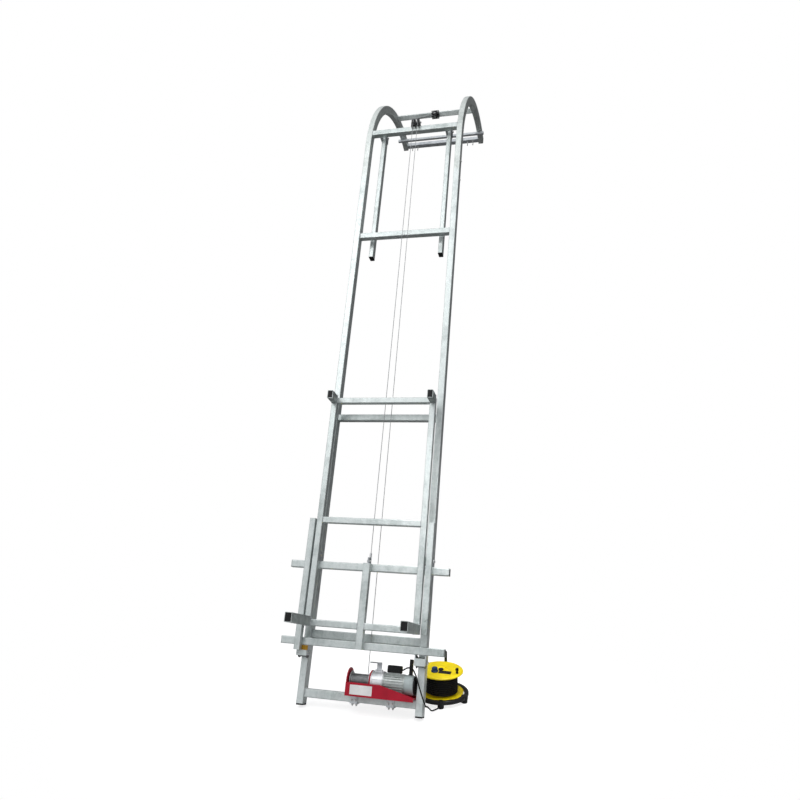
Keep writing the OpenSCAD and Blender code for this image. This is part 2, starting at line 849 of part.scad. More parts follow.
module limit_lever() color(zinc) leaned()
    difference() {
        union() {
            rod_x(lever_x, lever_x + lever_w, axis_y, pivot_z, lever_r);
            translate([lever_x, axis_y - lever_t / 2, pivot_z])
                cube([lever_w, lever_t, lever_h]);
            rod_x(lever_x - lever_reach, lever_x + lever_w, axis_y, pivot_z + lever_h, lever_r);
        }
        rod_x(gear_x, motor_x, axis_y, pivot_z, pivot_r + fit);
    }

// Wire rope

head_steps = 6;
step = run_deg / head_steps;

function over(x, i) = [x, fsheave_y - sheave_r * cos(i * step), fsheave_z + sheave_r * sin(i * step)];
function round_back(a) = [return_x + return_r * cos(a),
    run_y + (pull_len + return_r * sin(a)) * sin(run_deg),
    run_z + (pull_len + return_r * sin(a)) * cos(run_deg)];

wire_path = concat(
    [[fall_low_x, -rope_y, fall_low_z]],
    [for (i = [0:head_steps]) over(fall_x, i)],
    [for (a = [0:15:180]) round_back(a)],
    [for (i = [head_steps:-1:0]) over(lift_x, i)],
    [[lift_x, -rope_y, fsheave_z - rim_r]]);

module wire_rope() color(zinc) leaned() swept(wire_path, rope_r, 8);

module lift_rope() color(zinc) leaned()
    translate([lift_x, -rope_y, lift_bottom]) cylinder(h = fsheave_z - rim_r - lift_bottom, r = rope_r);

// Cable reel

module at_reel() stood() translate([reel_x, reel_y, reel_z]) rotate([reel_tilt, 0, 0]) children();

// ring round the lower disc, with lobes over its round feet
module stand_ring() translate([0, 0, ring_z]) linear_extrude(height = stand_d)
    difference() {
        union() {
            circle(r = ring_r + stand_d / 2);
            for (a = foot_angles)
                rotate(a)
                    translate([ring_r, 0])
                        circle(r = foot_r);
        }
        circle(r = ring_r - stand_d / 2);
    }

module reel_base() {
    stand_ring();
    for (a = foot_angles)
        rotate(a) {
            translate([ring_r, 0, 0])
                cylinder(h = ring_z + stand_d / 2, r = foot_r - foot_less);
            translate([0, -stand_d / 2, eps])
                cube([ring_r, stand_d, spoke_h]);
        }
    rotate(foot_angles[2])
        translate([ring_r, 0, spoke_h])
            cylinder(h = post_h - spoke_h, r = stand_post_r);
    translate([0, 0, spoke_h / 2])
        cylinder(h = reel_z, r = boss_r);
}

module reel_stand() color(dark) {
    stood() difference() {
        translate([reel_x, reel_y, 0])
            reel_base();
        translate([reel_x, reel_y, reel_z])
            rotate([reel_tilt, 0, 0])
                translate([0, 0, -hub_gap])
                    cylinder(h = reel_h, r = disc_r + ring_gap / 2);
    }
    at_reel() translate([0, 0, -hub_gap - eps]) cylinder(h = reel_h + 2 * hub_gap + 2 * eps, r = hub_r);
    at_reel() translate([0, 0, reel_h + hub_gap]) cylinder(h = cap_t, r = boss_r);
}

module reel_drum() color(yellow) at_reel()
    difference() {
        union() {
            cylinder(h = disc_t, r = disc_r);
            cylinder(h = reel_h, r = reel_core_r);
            translate([0, 0, reel_h - disc_t])
                cylinder(h = disc_t, r = disc_r);
            translate([knob_x, knob_y, reel_h])
                cylinder(h = knob_h, r = knob_r);
        }
        translate([0, 0, -eps])
            cylinder(h = reel_h + 2 * eps, r = hub_r + fit);
    }

module reel_winding() color(dark) at_reel()
    translate([0, 0, wound_z]) swept(turns(reel_turns, reel_pitch, wound_r, cable_d, 180, -1), cable_d / 2, 6);

// free supply cable: by the winch, then over the ground to the reel
function in_world(p) = [p[0], p[1] * cos(lean) + p[2] * sin(lean), p[2] * cos(lean) - p[1] * sin(lean) + lift];

lead_up = 20;
cable_start = [motor_x + pad_at - pad_up + box_w, axis_y, axis_z + motor_r + lead_up];
cable_winch = [[0, 0, 0], [8, 0, 0], [20, -2, 8], [40, -12, 14], [64, -26, 8], [88, -38, -26], [110, -46, -76],
    [131, -46, -126], [147, -38, -162]];
cable_ground = [[368, 40, 66], [371, 80, 40], [376, 118, 14]];
cable_deg = 63;
cable_last = 24;
cable_in = [cos(cable_deg), sin(cable_deg), 0];
cable_foot = ring_r * [cos(foot_angles[0]), sin(foot_angles[0]), 0];
cable_end = [reel_x, reel_y, lead_d] + cable_foot - (foot_r - foot_less + fit) * cable_in;
cable_pts = concat([for (p = cable_winch) in_world(cable_start + p)], cable_ground,
    [for (back = [cable_last, 0]) cable_end - back * cable_in]);
function smooth(p, i, t) = let (a = p[max(i - 1, 0)], b = p[i], c = p[i + 1], d = p[min(i + 2, len(p) - 1)])
    (2 * b + (c - a) * t + (2 * a - 5 * b + 4 * c - d) * t * t + (3 * b - a - 3 * c + d) * t * t * t) / 2;
cable_path = concat([for (i = [0:len(cable_pts) - 2]) for (k = [0:3]) smooth(cable_pts, i, k / 4)],
    [cable_pts[len(cable_pts) - 1]]);

module supply_cable() color(dark) stood() swept(cable_path, lead_d / 2, 8);

left_rail();
right_rail();
left_hook();
right_hook();
rail_splices();
rubber_feet();
hook_caps();
upper_rung();
middle_rung();
lower_rung();
winch_beam();
front_head_bar();
rear_head_bar();
grab_bar();
end_bar();
end_bar_bolts();
block_plates();
sheave_axles();
right_sheave();
left_sheave();
return_sheave();
leg_brackets();
leg_pins();
left_leg();
right_leg();
left_leg_cap();
right_leg_cap();
cross_tubes();
outer_guides();
uprights();
frame_bars();
centre_post();
fork_arms();
top_arms();
arm_caps();
rope_anchor();
roller_plates();
roller_axles();
left_upper_roller();
right_upper_roller();
left_lower_roller();
right_lower_roller();
winch_bed();
winch_plates();
winch_skirts();
beam_saddles();
drum();
drum_winding();
gear_case();
motor_shell();
motor_rotor();
motor_cover();
capacitor_box();
limit_lever();
wire_rope();
lift_rope();
reel_stand();
reel_drum();
reel_winding();
supply_cable();
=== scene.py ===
import json
import math

import bmesh
import bpy
import numpy as np
from mathutils import Matrix, Vector

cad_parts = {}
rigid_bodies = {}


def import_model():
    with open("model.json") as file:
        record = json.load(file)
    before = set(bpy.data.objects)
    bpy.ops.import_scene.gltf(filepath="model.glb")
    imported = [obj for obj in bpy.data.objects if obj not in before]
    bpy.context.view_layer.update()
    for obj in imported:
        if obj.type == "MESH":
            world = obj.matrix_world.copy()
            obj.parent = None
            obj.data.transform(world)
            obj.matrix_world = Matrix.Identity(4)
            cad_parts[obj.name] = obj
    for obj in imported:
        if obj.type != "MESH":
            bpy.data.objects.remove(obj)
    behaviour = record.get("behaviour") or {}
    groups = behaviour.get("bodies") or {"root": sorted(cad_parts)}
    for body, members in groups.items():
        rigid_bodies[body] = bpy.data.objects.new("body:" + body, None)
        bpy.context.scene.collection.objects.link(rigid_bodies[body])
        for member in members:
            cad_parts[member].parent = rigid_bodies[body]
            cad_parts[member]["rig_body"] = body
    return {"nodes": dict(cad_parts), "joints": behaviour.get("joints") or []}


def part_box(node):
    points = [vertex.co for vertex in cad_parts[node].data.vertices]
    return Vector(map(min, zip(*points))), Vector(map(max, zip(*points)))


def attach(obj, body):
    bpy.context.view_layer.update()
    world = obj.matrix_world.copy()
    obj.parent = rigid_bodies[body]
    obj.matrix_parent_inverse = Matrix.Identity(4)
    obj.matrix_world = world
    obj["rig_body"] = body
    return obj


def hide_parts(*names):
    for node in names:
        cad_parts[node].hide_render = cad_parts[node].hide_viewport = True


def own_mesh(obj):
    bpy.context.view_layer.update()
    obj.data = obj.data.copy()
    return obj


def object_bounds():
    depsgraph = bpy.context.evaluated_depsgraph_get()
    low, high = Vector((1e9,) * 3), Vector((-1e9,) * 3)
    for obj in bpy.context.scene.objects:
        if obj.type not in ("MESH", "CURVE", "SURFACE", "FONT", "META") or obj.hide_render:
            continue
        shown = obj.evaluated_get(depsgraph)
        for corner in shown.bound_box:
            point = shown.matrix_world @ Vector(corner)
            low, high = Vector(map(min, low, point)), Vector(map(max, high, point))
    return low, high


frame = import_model()
cad_low, cad_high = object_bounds()

# Rails: two long galvanised box tubes that carry everything and lean from the feet to the hooks.
# The tube is rolled and seam welded from strip, so its corners are round, and it is dipped in zinc
# after welding, which leaves spangles, drifts of paler zinc and faint runs along the tube.
MM = 0.001
joints = {joint["name"]: joint for joint in frame["joints"]}
rail_way = joints["carriage_slide"]["axis"]
lean = math.atan2(rail_way[1], rail_way[2])
leaning = Matrix.Rotation(-lean, 4, "X")
tube_wall = 3 * MM
tube_corner = 4.5 * MM
same_spot = 0.002 * MM
sharp_angle = math.radians(38)
other_axes = ((1, 2), (0, 2), (0, 1))


def node(tree, kind, inputs=None, **settings):
    """Adds a node to a shader or geometry tree, with its settings, values and incoming links."""
    added = tree.nodes.new(kind)
    for key, value in settings.items():
        setattr(added, key, value)
    for key, value in (inputs or {}).items():
        if isinstance(value, bpy.types.NodeSocket):
            tree.links.new(value, added.inputs[key])
        else:
            added.inputs[key].default_value = value
    return added


def ramp(tree, factor, *stops):
    """Colour ramp through (place, colour) stops, where a colour is three numbers or one grey."""
    added = node(tree, "ShaderNodeValToRGB", {"Fac": factor})
    band = added.color_ramp.elements
    while len(band) < len(stops):
        band.new(0.5)
    for element, (place, colour) in zip(band, stops):
        element.position = place
        element.color = (*colour, 1) if isinstance(colour, tuple) else (colour, colour, colour, 1)
    return added.outputs["Color"]


def noise(tree, place, scale, detail, rough=0.5):
    """Grey cloud on a place."""
    inputs = {"Vector": place, "Scale": scale, "Detail": detail, "Roughness": rough}
    return node(tree, "ShaderNodeTexNoise", inputs).outputs["Fac"]


def ranged(tree, value, start, end, first=0.0, last=1.0, **settings):
    """A value carried from one range to another."""
    inputs = {"Value": value, "From Min": start, "From Max": end, "To Min": first, "To Max": last}
    return node(tree, "ShaderNodeMapRange", inputs, **settings).outputs["Result"]


def reckoned(tree, operation, *values):
    """Result of a sum on numbers or sockets."""
    return node(tree, "ShaderNodeMath", dict(enumerate(values)), operation=operation).outputs["Value"]


def overlaid(tree, amount, base, over):
    """A colour with another laid over it, which makes it darker or paler."""
    return node(tree, "ShaderNodeMix", {0: amount, 6: base, 7: over}, data_type="RGBA",
                blend_type="OVERLAY").outputs[2]


def finish_tree(name, metallic):
    """New material, its shader and the object's own coordinates, turned to run with the rails."""
    finish = bpy.data.materials.new(name)
    finish.use_nodes = True
    tree = finish.node_tree
    shader = tree.nodes["Principled BSDF"]
    shader.inputs["Metallic"].default_value = metallic
    place = node(tree, "ShaderNodeTexCoord").outputs["Object"]
    with_rails = node(tree, "ShaderNodeMapping", {"Vector": place, "Rotation": (lean, 0, 0)})
    return finish, tree, shader, with_rails.outputs["Vector"]


def galvanised(name, pale, dark, rough):
    """Hot dipped zinc: spangles, cloudy drifts, runs along the tube and dull grey patches."""
    finish, tree, shader, place = finish_tree(name, 0.72)
    spangle = node(tree, "ShaderNodeTexVoronoi", {"Vector": place, "Scale": 95, "Randomness": 1})
    grey = node(tree, "ShaderNodeSeparateColor", {"Color": spangle.outputs["Color"]}).outputs["Red"]
    cloud = noise(tree, place, 7, 8, 0.62)
    drawn_out = node(tree, "ShaderNodeMapping", {"Vector": place, "Scale": (60, 60, 2.5)})
    runs = noise(tree, drawn_out.outputs["Vector"], 1, 4)
    base = ramp(tree, cloud, (0.32, dark), (0.52, pale), (0.74, dark))
    flecked = overlaid(tree, 0.34, base, ramp(tree, grey, (0.0, 0.34), (1.0, 0.66)))
    streaked = overlaid(tree, 0.30, flecked, ramp(tree, runs, (0.3, 0.36), (0.7, 0.62)))
    tree.links.new(streaked, shader.inputs["Base Color"])
    dull = ranged(tree, cloud, 0.3, 0.7, rough - 0.10, rough + 0.14)
    tree.links.new(reckoned(tree, "MULTIPLY_ADD", grey, 0.12, dull), shader.inputs["Roughness"])
    fine = node(tree, "ShaderNodeBump", {"Strength": 0.18, "Distance": 0.6 * MM,
                                         "Height": noise(tree, place, 420, 3)})
    coarse = node(tree, "ShaderNodeBump", {"Strength": 0.16, "Distance": 1.5 * MM, "Height": cloud,
                                           "Normal": fine.outputs["Normal"]})
    tree.links.new(coarse.outputs["Normal"], shader.inputs["Normal"])
    return finish


def solids_of(name, turn=leaning):
    """Lowest and highest corner of each solid of a CAD node, in the upright frame that turn leans."""
    mesh = bmesh.new()
    mesh.from_mesh(frame["nodes"][name].data)
    mesh.transform(turn.inverted())
    bmesh.ops.remove_doubles(mesh, verts=mesh.verts, dist=same_spot)
    left = set(mesh.verts)
    found = []
    while left:
        queue = [left.pop()]
        corners = []
        while queue:
            vert = queue.pop()
            corners.append(vert.co)
            near = {edge.other_vert(vert) for edge in vert.link_edges} & left
            left -= near
            queue.extend(near)
        corners = np.array(corners)
        found.append((Vector(corners.min(0)), Vector(corners.max(0))))
    mesh.free()
    return sorted(found, key=lambda box: tuple(round(x, 5) for x in box[0]))


def rounded(width, height, radius, steps=4):
    """Closed outline of a rectangle with round corners, about its middle."""
    outline = []
    for corner, (way_x, way_y) in enumerate(((1, 1), (-1, 1), (-1, -1), (1, -1))):
        for step in range(steps + 1):
            angle = math.radians(90 * corner + 90 * step / steps)
            outline.append((way_x * (width / 2 - radius) + radius * math.cos(angle),
                            way_y * (height / 2 - radius) + radius * math.sin(angle)))
    return outline


def sweep_tube(mesh, places, width, height):
    """Adds a walled box tube whose section is carried through a list of placements."""
    outer = rounded(width, height, tube_corner)
    inner = rounded(width - 2 * tube_wall, height - 2 * tube_wall, tube_corner - tube_wall)
    rings = [[[mesh.verts.new(place @ Vector((x, y, 0))) for x, y in loop] for place in places]
             for loop in (outer, inner)]
    pairs = [pair for layer in rings for pair in zip(layer, layer[1:])]
    pairs += [(rings[0][end], rings[1][end]) for end in (0, -1)]
    for near, far in pairs:
        for k, (vert, beyond) in enumerate(zip(near, far)):
            mesh.faces.new((near[k - 1], vert, beyond, far[k - 1]))


def box_tube(mesh, low, high, axis):
    """Adds a box tube that fills a box of the upright frame and runs along one of its axes."""
    across, up = other_axes[axis]
    place = Matrix.Identity(4)
    for column, way in enumerate((across, up, axis)):
        place.col[column] = Vector([float(k == way) for k in range(3)] + [0])
    ends = []
    for at in (low[axis], high[axis]):
        middle = (low + high) / 2
        middle[axis] = at
        ends.append(Matrix.Translation(middle) @ place)
    size = high - low
    sweep_tube(mesh, ends, size[across], size[up])


def placed(name, data):
    """A new object in the scene."""
    made = bpy.data.objects.new(name, data)
    bpy.context.scene.collection.objects.link(made)
    return made


def fixed(name, data, finish, carrier, stands_for=(), ease=0.0):
    """Makes a mesh an object, gives it its finish and eased edges, and fixes it to its CAD body."""
    made = placed(name, data)
    if finish:
        data.materials.clear()
        data.materials.append(finish)
    if ease:
        edges = made.modifiers.new("eased_edges", "BEVEL")
        edges.width = ease
        edges.segments = 2
        edges.limit_method = "ANGLE"
        edges.angle_limit = sharp_angle
        edges.harden_normals = True
    else:
        made.modifiers.new("flat_faces", "WEIGHTED_NORMAL").keep_sharp = True
    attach(made, frame["nodes"][carrier]["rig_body"])
    if stands_for:
        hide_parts(*stands_for)
    return made


def piece(name, mesh, finish, carrier, stands_for=(), ease=0.0, turn=leaning):
    """Finishes a mesh of the upright frame as an object that rides with the CAD node that carries it."""
    mesh.transform(turn)
    bmesh.ops.recalc_face_normals(mesh, faces=mesh.faces)
    for face in mesh.faces:
        face.smooth = True
    for edge in mesh.edges:
        edge.smooth = len(edge.link_faces) == 2 and edge.calc_face_angle(0) < sharp_angle
    data = bpy.data.meshes.new(name)
    mesh.to_mesh(data)
    mesh.free()
    return fixed(name, data, finish, carrier, stands_for, ease)


def tubes(name, axis, finish, turn=leaning):
    """Every box tube of a CAD node, with round corners, in the node's own place."""
    mesh = bmesh.new()
    for low, high in solids_of(name, turn):
        box_tube(mesh, low, high, axis)
    piece(name + "_tube", mesh, finish, name, [name], turn=turn)


rail_zinc = galvanised("rail_zinc", (0.72, 0.77, 0.76), (0.54, 0.59, 0.58), 0.38)
for rail in ("left_rail", "right_rail"):
    tubes(rail, 2, rail_zinc)

# Hooks: the rails end in one long bend each, which hangs over the edge that the hoist serves.
# They are the same box tube, drawn round a former, and slide over a plug at the rail splice.
hook_step_deg = 2.5
upright = leaning.inverted()
hook_zinc = galvanised("hook_zinc", (0.72, 0.76, 0.74), (0.52, 0.56, 0.54), 0.40)
rail_low, rail_high = solids_of("left_rail")[0]
rail_depth = rail_high.y - rail_low.y
rail_width = rail_high.x - rail_low.x
rail_mid = -(rail_low.x + rail_high.x) / 2
hook_inside = -rail_high.y / (1 - math.sin(lean))
hook_centre = upright @ Vector((0, 0, -hook_inside))
hook_radius = hook_inside + rail_depth / 2


def on_bend(x, angle):
    """Placement on the hook's bend: local Y points to its centre and local Z along the tube."""
    sine, cosine = math.sin(angle), math.cos(angle)
    spot = (x, hook_centre.y - hook_radius * cosine, hook_centre.z + hook_radius * sine)
    turn = Matrix(((1, 0, 0), (0, cosine, sine), (0, -sine, cosine)))
    return Matrix.Translation(spot) @ turn.to_4x4()


def spots_of(name, turn=leaning):
    """Corners of a CAD node's mesh, in the frame that turn leans."""
    back = turn.inverted()
    return [back @ vert.co for vert in frame["nodes"][name].data.vertices]


for hook in ("left_hook", "right_hook"):
    from_centre = [spot - hook_centre for spot in spots_of(hook)]
    hook_turn = max(math.atan2(spot.z, -spot.y) for spot in from_centre)
    hook_low, hook_high = solids_of(hook)[0]
    hook_x = (hook_low.x + hook_high.x) / 2
    bends = round(math.degrees(hook_turn) / hook_step_deg)
    places = [Matrix.Translation((0, 0, hook_low.z - hook_centre.z)) @ on_bend(hook_x, 0)]
    places += [on_bend(hook_x, hook_turn * k / bends) for k in range(bends + 1)]
    mesh = bmesh.new()
    sweep_tube(mesh, places, rail_width, rail_depth)
    piece(hook + "_bend", mesh, hook_zinc, hook, [hook])

# Feet and end caps: rubber blocks under the rails and black plastic plugs in the open tube ends.
# Both are moulded, so their edges are well rounded and the surface has a fine grain.
foot_ease = 3 * MM
cap_ease = 1.8 * MM
as_is = Matrix.Identity(4)


def moulded(name, colour, rough, grain=900, depth=0.2 * MM, coat=0.0):
    """Plastic, rubber or paint: one colour with faint drifts, a fine grain and uneven shine."""
    finish, tree, shader, place = finish_tree(name, 0.0)
    drift = noise(tree, place, 14, 6, 0.6)
    deep = tuple(part * 0.82 for part in colour)
    pale = tuple(min(1.0, part * 1.10 + 0.002) for part in colour)
    tree.links.new(ramp(tree, drift, (0.3, deep), (0.7, pale)), shader.inputs["Base Color"])
    tree.links.new(ranged(tree, drift, 0.3, 0.7, rough - 0.06, rough + 0.08), shader.inputs["Roughness"])
    shader.inputs["Specular IOR Level"].default_value = 0.25
    shader.inputs["Coat Weight"].default_value = coat
    shader.inputs["Coat Roughness"].default_value = 0.12
    skin = node(tree, "ShaderNodeBump", {"Strength": 0.25, "Distance": depth,
                                         "Height": noise(tree, place, grain, 2)})
    tree.links.new(skin.outputs["Normal"], shader.inputs["Normal"])
    return finish


def eased(name, finish, width):
    """The CAD node's own solid with its flat faces joined and its edges eased."""
    mesh = bmesh.new()
    mesh.from_mesh(frame["nodes"][name].data)
    bmesh.ops.remove_doubles(mesh, verts=mesh.verts, dist=same_spot)
    bmesh.ops.dissolve_limit(mesh, angle_limit=math.radians(0.5), verts=mesh.verts, edges=mesh.edges)
    piece(name + "_eased", mesh, finish, name, [name], width, as_is)


foot_rubber = moulded("foot_rubber", (0.016, 0.016, 0.017), 0.78, 500, 0.5 * MM)
cap_plastic = moulded("cap_plastic", (0.008, 0.008, 0.009), 0.46)
eased("rubber_feet", foot_rubber, foot_ease)
for cap in ("hook_caps", "left_leg_cap", "right_leg_cap"):
    eased(cap, cap_plastic, cap_ease)

# Rungs and head bars: box tubes between the rails, with a rippled bead of weld round both ends.
# Geometry nodes set a round drop every few millimetres along the bead's line.
bead_r = 2.4 * MM
bead_step = 3.2 * MM
rung_zinc = galvanised("rung_zinc", (0.66, 0.71, 0.70), (0.46, 0.51, 0.50), 0.40)
weld_zinc = galvanised("weld_zinc", (0.62, 0.64, 0.65), (0.42, 0.44, 0.45), 0.46)


def new_tree(name, **inputs):
    """Empty geometry tree with a geometry input and the named inputs, each with its socket kind."""
    tree = bpy.data.node_groups.new(name, "GeometryNodeTree")
    tree.interface.new_socket("Geometry", in_out="INPUT", socket_type="NodeSocketGeometry")
    for label, kind in inputs.items():
        tree.interface.new_socket(label, in_out="INPUT", socket_type="NodeSocket" + kind)
    tree.interface.new_socket("Geometry", in_out="OUTPUT", socket_type="NodeSocketGeometry")
    return tree, node(tree, "NodeGroupInput").outputs


def stepped_line(tree, given):
    """The edges that a tree is given, as a curve with a point at every step."""
    line = node(tree, "GeometryNodeMeshToCurve", {"Mesh": given["Geometry"]}).outputs["Curve"]
    return node(tree, "GeometryNodeResampleCurve", {"Curve": line, "Length": given["Step"]},
                mode="LENGTH").outputs["Curve"]


def end_tree(tree, geometry, given):
    """Ends a geometry tree: instances made real, and given their material."""
    real = node(tree, "GeometryNodeRealizeInstances", {"Geometry": geometry}).outputs["Geometry"]
    dressed = node(tree, "GeometryNodeSetMaterial", {"Geometry": real, "Material": given["Finish"]})
    node(tree, "NodeGroupOutput", {"Geometry": dressed.outputs["Geometry"]})


def grow(name, data, tree, turn=leaning, **values):
    """Runs a geometry tree on a mesh with its inputs set by name, and gives the plain mesh that it makes."""
    start = placed(name, data)
    growth = start.modifiers.new(name, "NODES")
    growth.node_group = tree
    for item in tree.interface.items_tree:
        if item.in_out == "INPUT" and item.name in values:
            growth[item.identifier] = values[item.name]
    bpy.context.view_layer.update()
    seen = start.evaluated_get(bpy.context.evaluated_depsgraph_get())
    result = bpy.data.meshes.new_from_object(seen)
    start.modifiers.clear()
    bpy.data.objects.remove(start)
    result.transform(turn)
    return result


bead_tree, given = new_tree("weld_bead", Bead="Float", Step="Float", Finish="Material")
drop = node(bead_tree, "GeometryNodeMeshUVSphere", {"Segments": 8, "Rings": 5, "Radius": given["Bead"]})
swell = node(bead_tree, "FunctionNodeRandomValue", {2: 0.82, 3: 1.15, "Seed": 7}, data_type="FLOAT")
drops = node(bead_tree, "GeometryNodeInstanceOnPoints",
             {"Points": stepped_line(bead_tree, given), "Instance": drop.outputs["Mesh"],
              "Scale": swell.outputs[1]})
end_tree(bead_tree, drops.outputs["Instances"], given)


def welded(name, carrier, ends, turn=leaning):
    """Weld beads on a carrier: each end is (box of a tube, axis it runs along, where it is cut off)."""
    points, lines = [], []
    for (low, high), axis, at in ends:
        across, up = other_axes[axis]
        middle = (low + high) / 2
        outline = rounded(high[across] - low[across], high[up] - low[up], tube_corner)
        first = len(points)
        for right, above in outline:
            spot = Vector((0, 0, 0))
            spot[axis], spot[across], spot[up] = at, middle[across] + right, middle[up] + above
            points.append(spot)
        lines += [(first + k, first + (k + 1) % len(outline)) for k in range(len(outline))]
    data = bpy.data.meshes.new(name)
    data.from_pydata(points, lines, [])
    beads = grow(name, data, bead_tree, turn, Bead=bead_r, Step=bead_step, Finish=weld_zinc)
    fixed(name, beads, None, carrier)


def own_turn(name):
    """Turn about X that lines the axes up with a bar's own faces."""
    sides = [face for face in frame["nodes"][name].data.polygons if abs(face.normal.x) < 0.1]
    widest = max(sides, key=lambda face: face.area)
    return Matrix.Rotation(math.atan2(widest.normal.z, widest.normal.y), 4, "X")


for rung in ("upper_rung", "middle_rung", "lower_rung", "winch_beam", "front_head_bar", "rear_head_bar"):
    turn = own_turn(rung)
    tubes(rung, 0, rung_zinc, turn)
    span = solids_of(rung, turn)[0]
    welded(rung + "_welds", rung, [(span, 0, span[0].x), (span, 0, span[1].x)], turn)

# Bars at the hook ends: a galvanised tube under both hooks and one between their ends, with long bolts.
# Geometry nodes set the same hexagon bolt head, washer and thread on every fixing point of the part.
bolt_across = 6.5 * MM
bolt_head = 5.5 * MM
bolt_chamfer = 0.9 * MM
bolt_top_share = 0.86
washer_r = 8.5 * MM
washer_t = 1.6 * MM
thread_pitch = 1.25 * MM
thread_root = 3.6 * MM
thread_r = 4 * MM
bar_zinc = galvanised("bar_zinc", (0.66, 0.69, 0.71), (0.44, 0.47, 0.50), 0.36)
bolt_zinc = galvanised("bolt_zinc", (0.70, 0.71, 0.70), (0.52, 0.53, 0.52), 0.28)


def turned(mesh, place, profile, steps=48, closed=False):
    """Adds a turned form: (radius, height) pairs carried round a placement's local Z."""
    rings = []
    for radius, height in profile:
        angles = [math.tau * k / steps for k in range(steps if radius > 0 else 1)]
        spots = [Vector((radius * math.cos(angle), radius * math.sin(angle), height)) for angle in angles]
        rings.append([mesh.verts.new(place @ spot) for spot in spots])
    for near, far in zip(rings, rings[1:] + rings[:1] if closed else rings[1:]):
        for k in range(steps):
            loop = [near[k % len(near)], near[(k + 1) % steps % len(near)],
                    far[(k + 1) % steps % len(far)], far[k % len(far)]]
            mesh.faces.new(list(dict.fromkeys(loop)))


set_tree, given = new_tree("set_on_points", Piece="Object", Finish="Material")
model = node(set_tree, "GeometryNodeObjectInfo", {"Object": given["Piece"]})
aim = node(set_tree, "GeometryNodeInputNamedAttribute", {"Name": "aim"}, data_type="FLOAT_VECTOR")
facing = node(set_tree, "FunctionNodeAlignRotationToVector", {"Vector": aim.outputs["Attribute"]}, axis="Z")
copies = node(set_tree, "GeometryNodeInstanceOnPoints",
              {"Points": given["Geometry"], "Instance": model.outputs["Geometry"],
               "Rotation": facing.outputs["Rotation"]})
end_tree(set_tree, copies.outputs["Instances"], given)


def set_out(name, mesh, places, finish, carrier, turn=leaning):
    """Copies of a small form on (place, aim) points of a carrier, its local Z along the aim."""
    bmesh.ops.recalc_face_normals(mesh, faces=mesh.faces)
    small = bpy.data.meshes.new(name + "_form")
    mesh.to_mesh(small)
    mesh.free()
    form = placed(name + "_form", small)
    data = bpy.data.meshes.new(name)
    data.from_pydata([spot for spot, way in places], [], [])
    ways = data.attributes.new("aim", "FLOAT_VECTOR", "POINT")
    for value, (spot, way) in zip(ways.data, places):
        value.vector = way
    result = grow(name, data, set_tree, turn, Piece=form, Finish=finish)
    bpy.data.objects.remove(form)
    fixed(name, result, None, carrier)


def bolts(name, places, carrier, turn=leaning, size=1.0, tail=0.0):
    """Hexagon heads on washers at (place, aim) points, with a length of thread past them if asked."""
    mesh = bmesh.new()
    scale = Matrix.Scale(size, 4)
    top = washer_t + bolt_head
    turned(mesh, scale, [(0, 0), (washer_r, 0), (washer_r, washer_t), (0, washer_t)], 24)
    turned(mesh, scale, [(0, washer_t), (bolt_across, washer_t), (bolt_across, top - bolt_chamfer),
                         (bolt_across * bolt_top_share, top), (0, top)], 6)
    if tail:
        thread = [(0, top / 2)]
        for k in range(int(tail / thread_pitch)):
            thread += [(thread_root, top + k * thread_pitch), (thread_r, top + (k + 0.5) * thread_pitch)]
        turned(mesh, as_is, thread + [(0, top + tail)], 12)
    set_out(name, mesh, places, bolt_zinc, carrier, turn)


for bar in ("grab_bar", "end_bar"):
    tubes(bar, 0, bar_zinc, own_turn(bar))
turn = own_turn("end_bar")
bar_low, bar_high = solids_of("end_bar", turn)[0]
inward = turn.inverted() @ leaning @ hook_centre - (bar_low + bar_high) / 2
down = max((1, 2), key=lambda k: abs(inward[k]))
way = Vector([math.copysign(1, inward[k]) if k == down else 0 for k in range(3)])
reach = (bar_high[down] - bar_low[down]) / 2
heads, nuts = [], []
for low, high in solids_of("end_bar_bolts", turn):
    spot = (bar_low + bar_high) / 2
    spot.x = (low.x + high.x) / 2
    heads.append((spot - way * reach, -way))
    nuts.append((spot + way * reach, way))
bolt_low, bolt_high = solids_of("end_bar_bolts", turn)[0]
tail_len = bolt_high[down] - bolt_low[down] - 2 * reach - washer_t - 2 * bolt_head
bolts("end_bolt_heads", heads, "end_bar_bolts", turn)
bolts("end_bolt_nuts", nuts, "end_bar_bolts", turn, tail=tail_len)
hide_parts("end_bar_bolts")

# Head blocks: dark painted cheek plates on the two head bars, turned sheaves between them and bolted axles.
# The wire rope goes up over one front sheave, round the sheave at the rear bar and back over the other.
plate_ease = 0.9 * MM
axle_ease = 0.8 * MM
sheave_ease = 0.6 * MM
sheave_hub = 4 * MM
sheave_web_in = 1.5 * MM
web_draft = 0.5 * MM
groove_deep = 6.6 * MM
groove_half = 2.3 * MM
groove_lip = 1.6 * MM
rim_w = 2 * MM
axle_past = 5 * MM
cheek_gap = 1 * MM
cheek_t = 4 * MM
rear_reach = 150 * MM
base_bolt_in = 9 * MM
base_bolt_x = 20 * MM
block_black = moulded("block_black", (0.045, 0.046, 0.050), 0.42, 700, 0.3 * MM, 0.2)
sheave_black = moulded("sheave_black", (0.030, 0.031, 0.034), 0.38)
axle_zinc = galvanised("axle_zinc", (0.72, 0.73, 0.73), (0.55, 0.56, 0.57), 0.26)


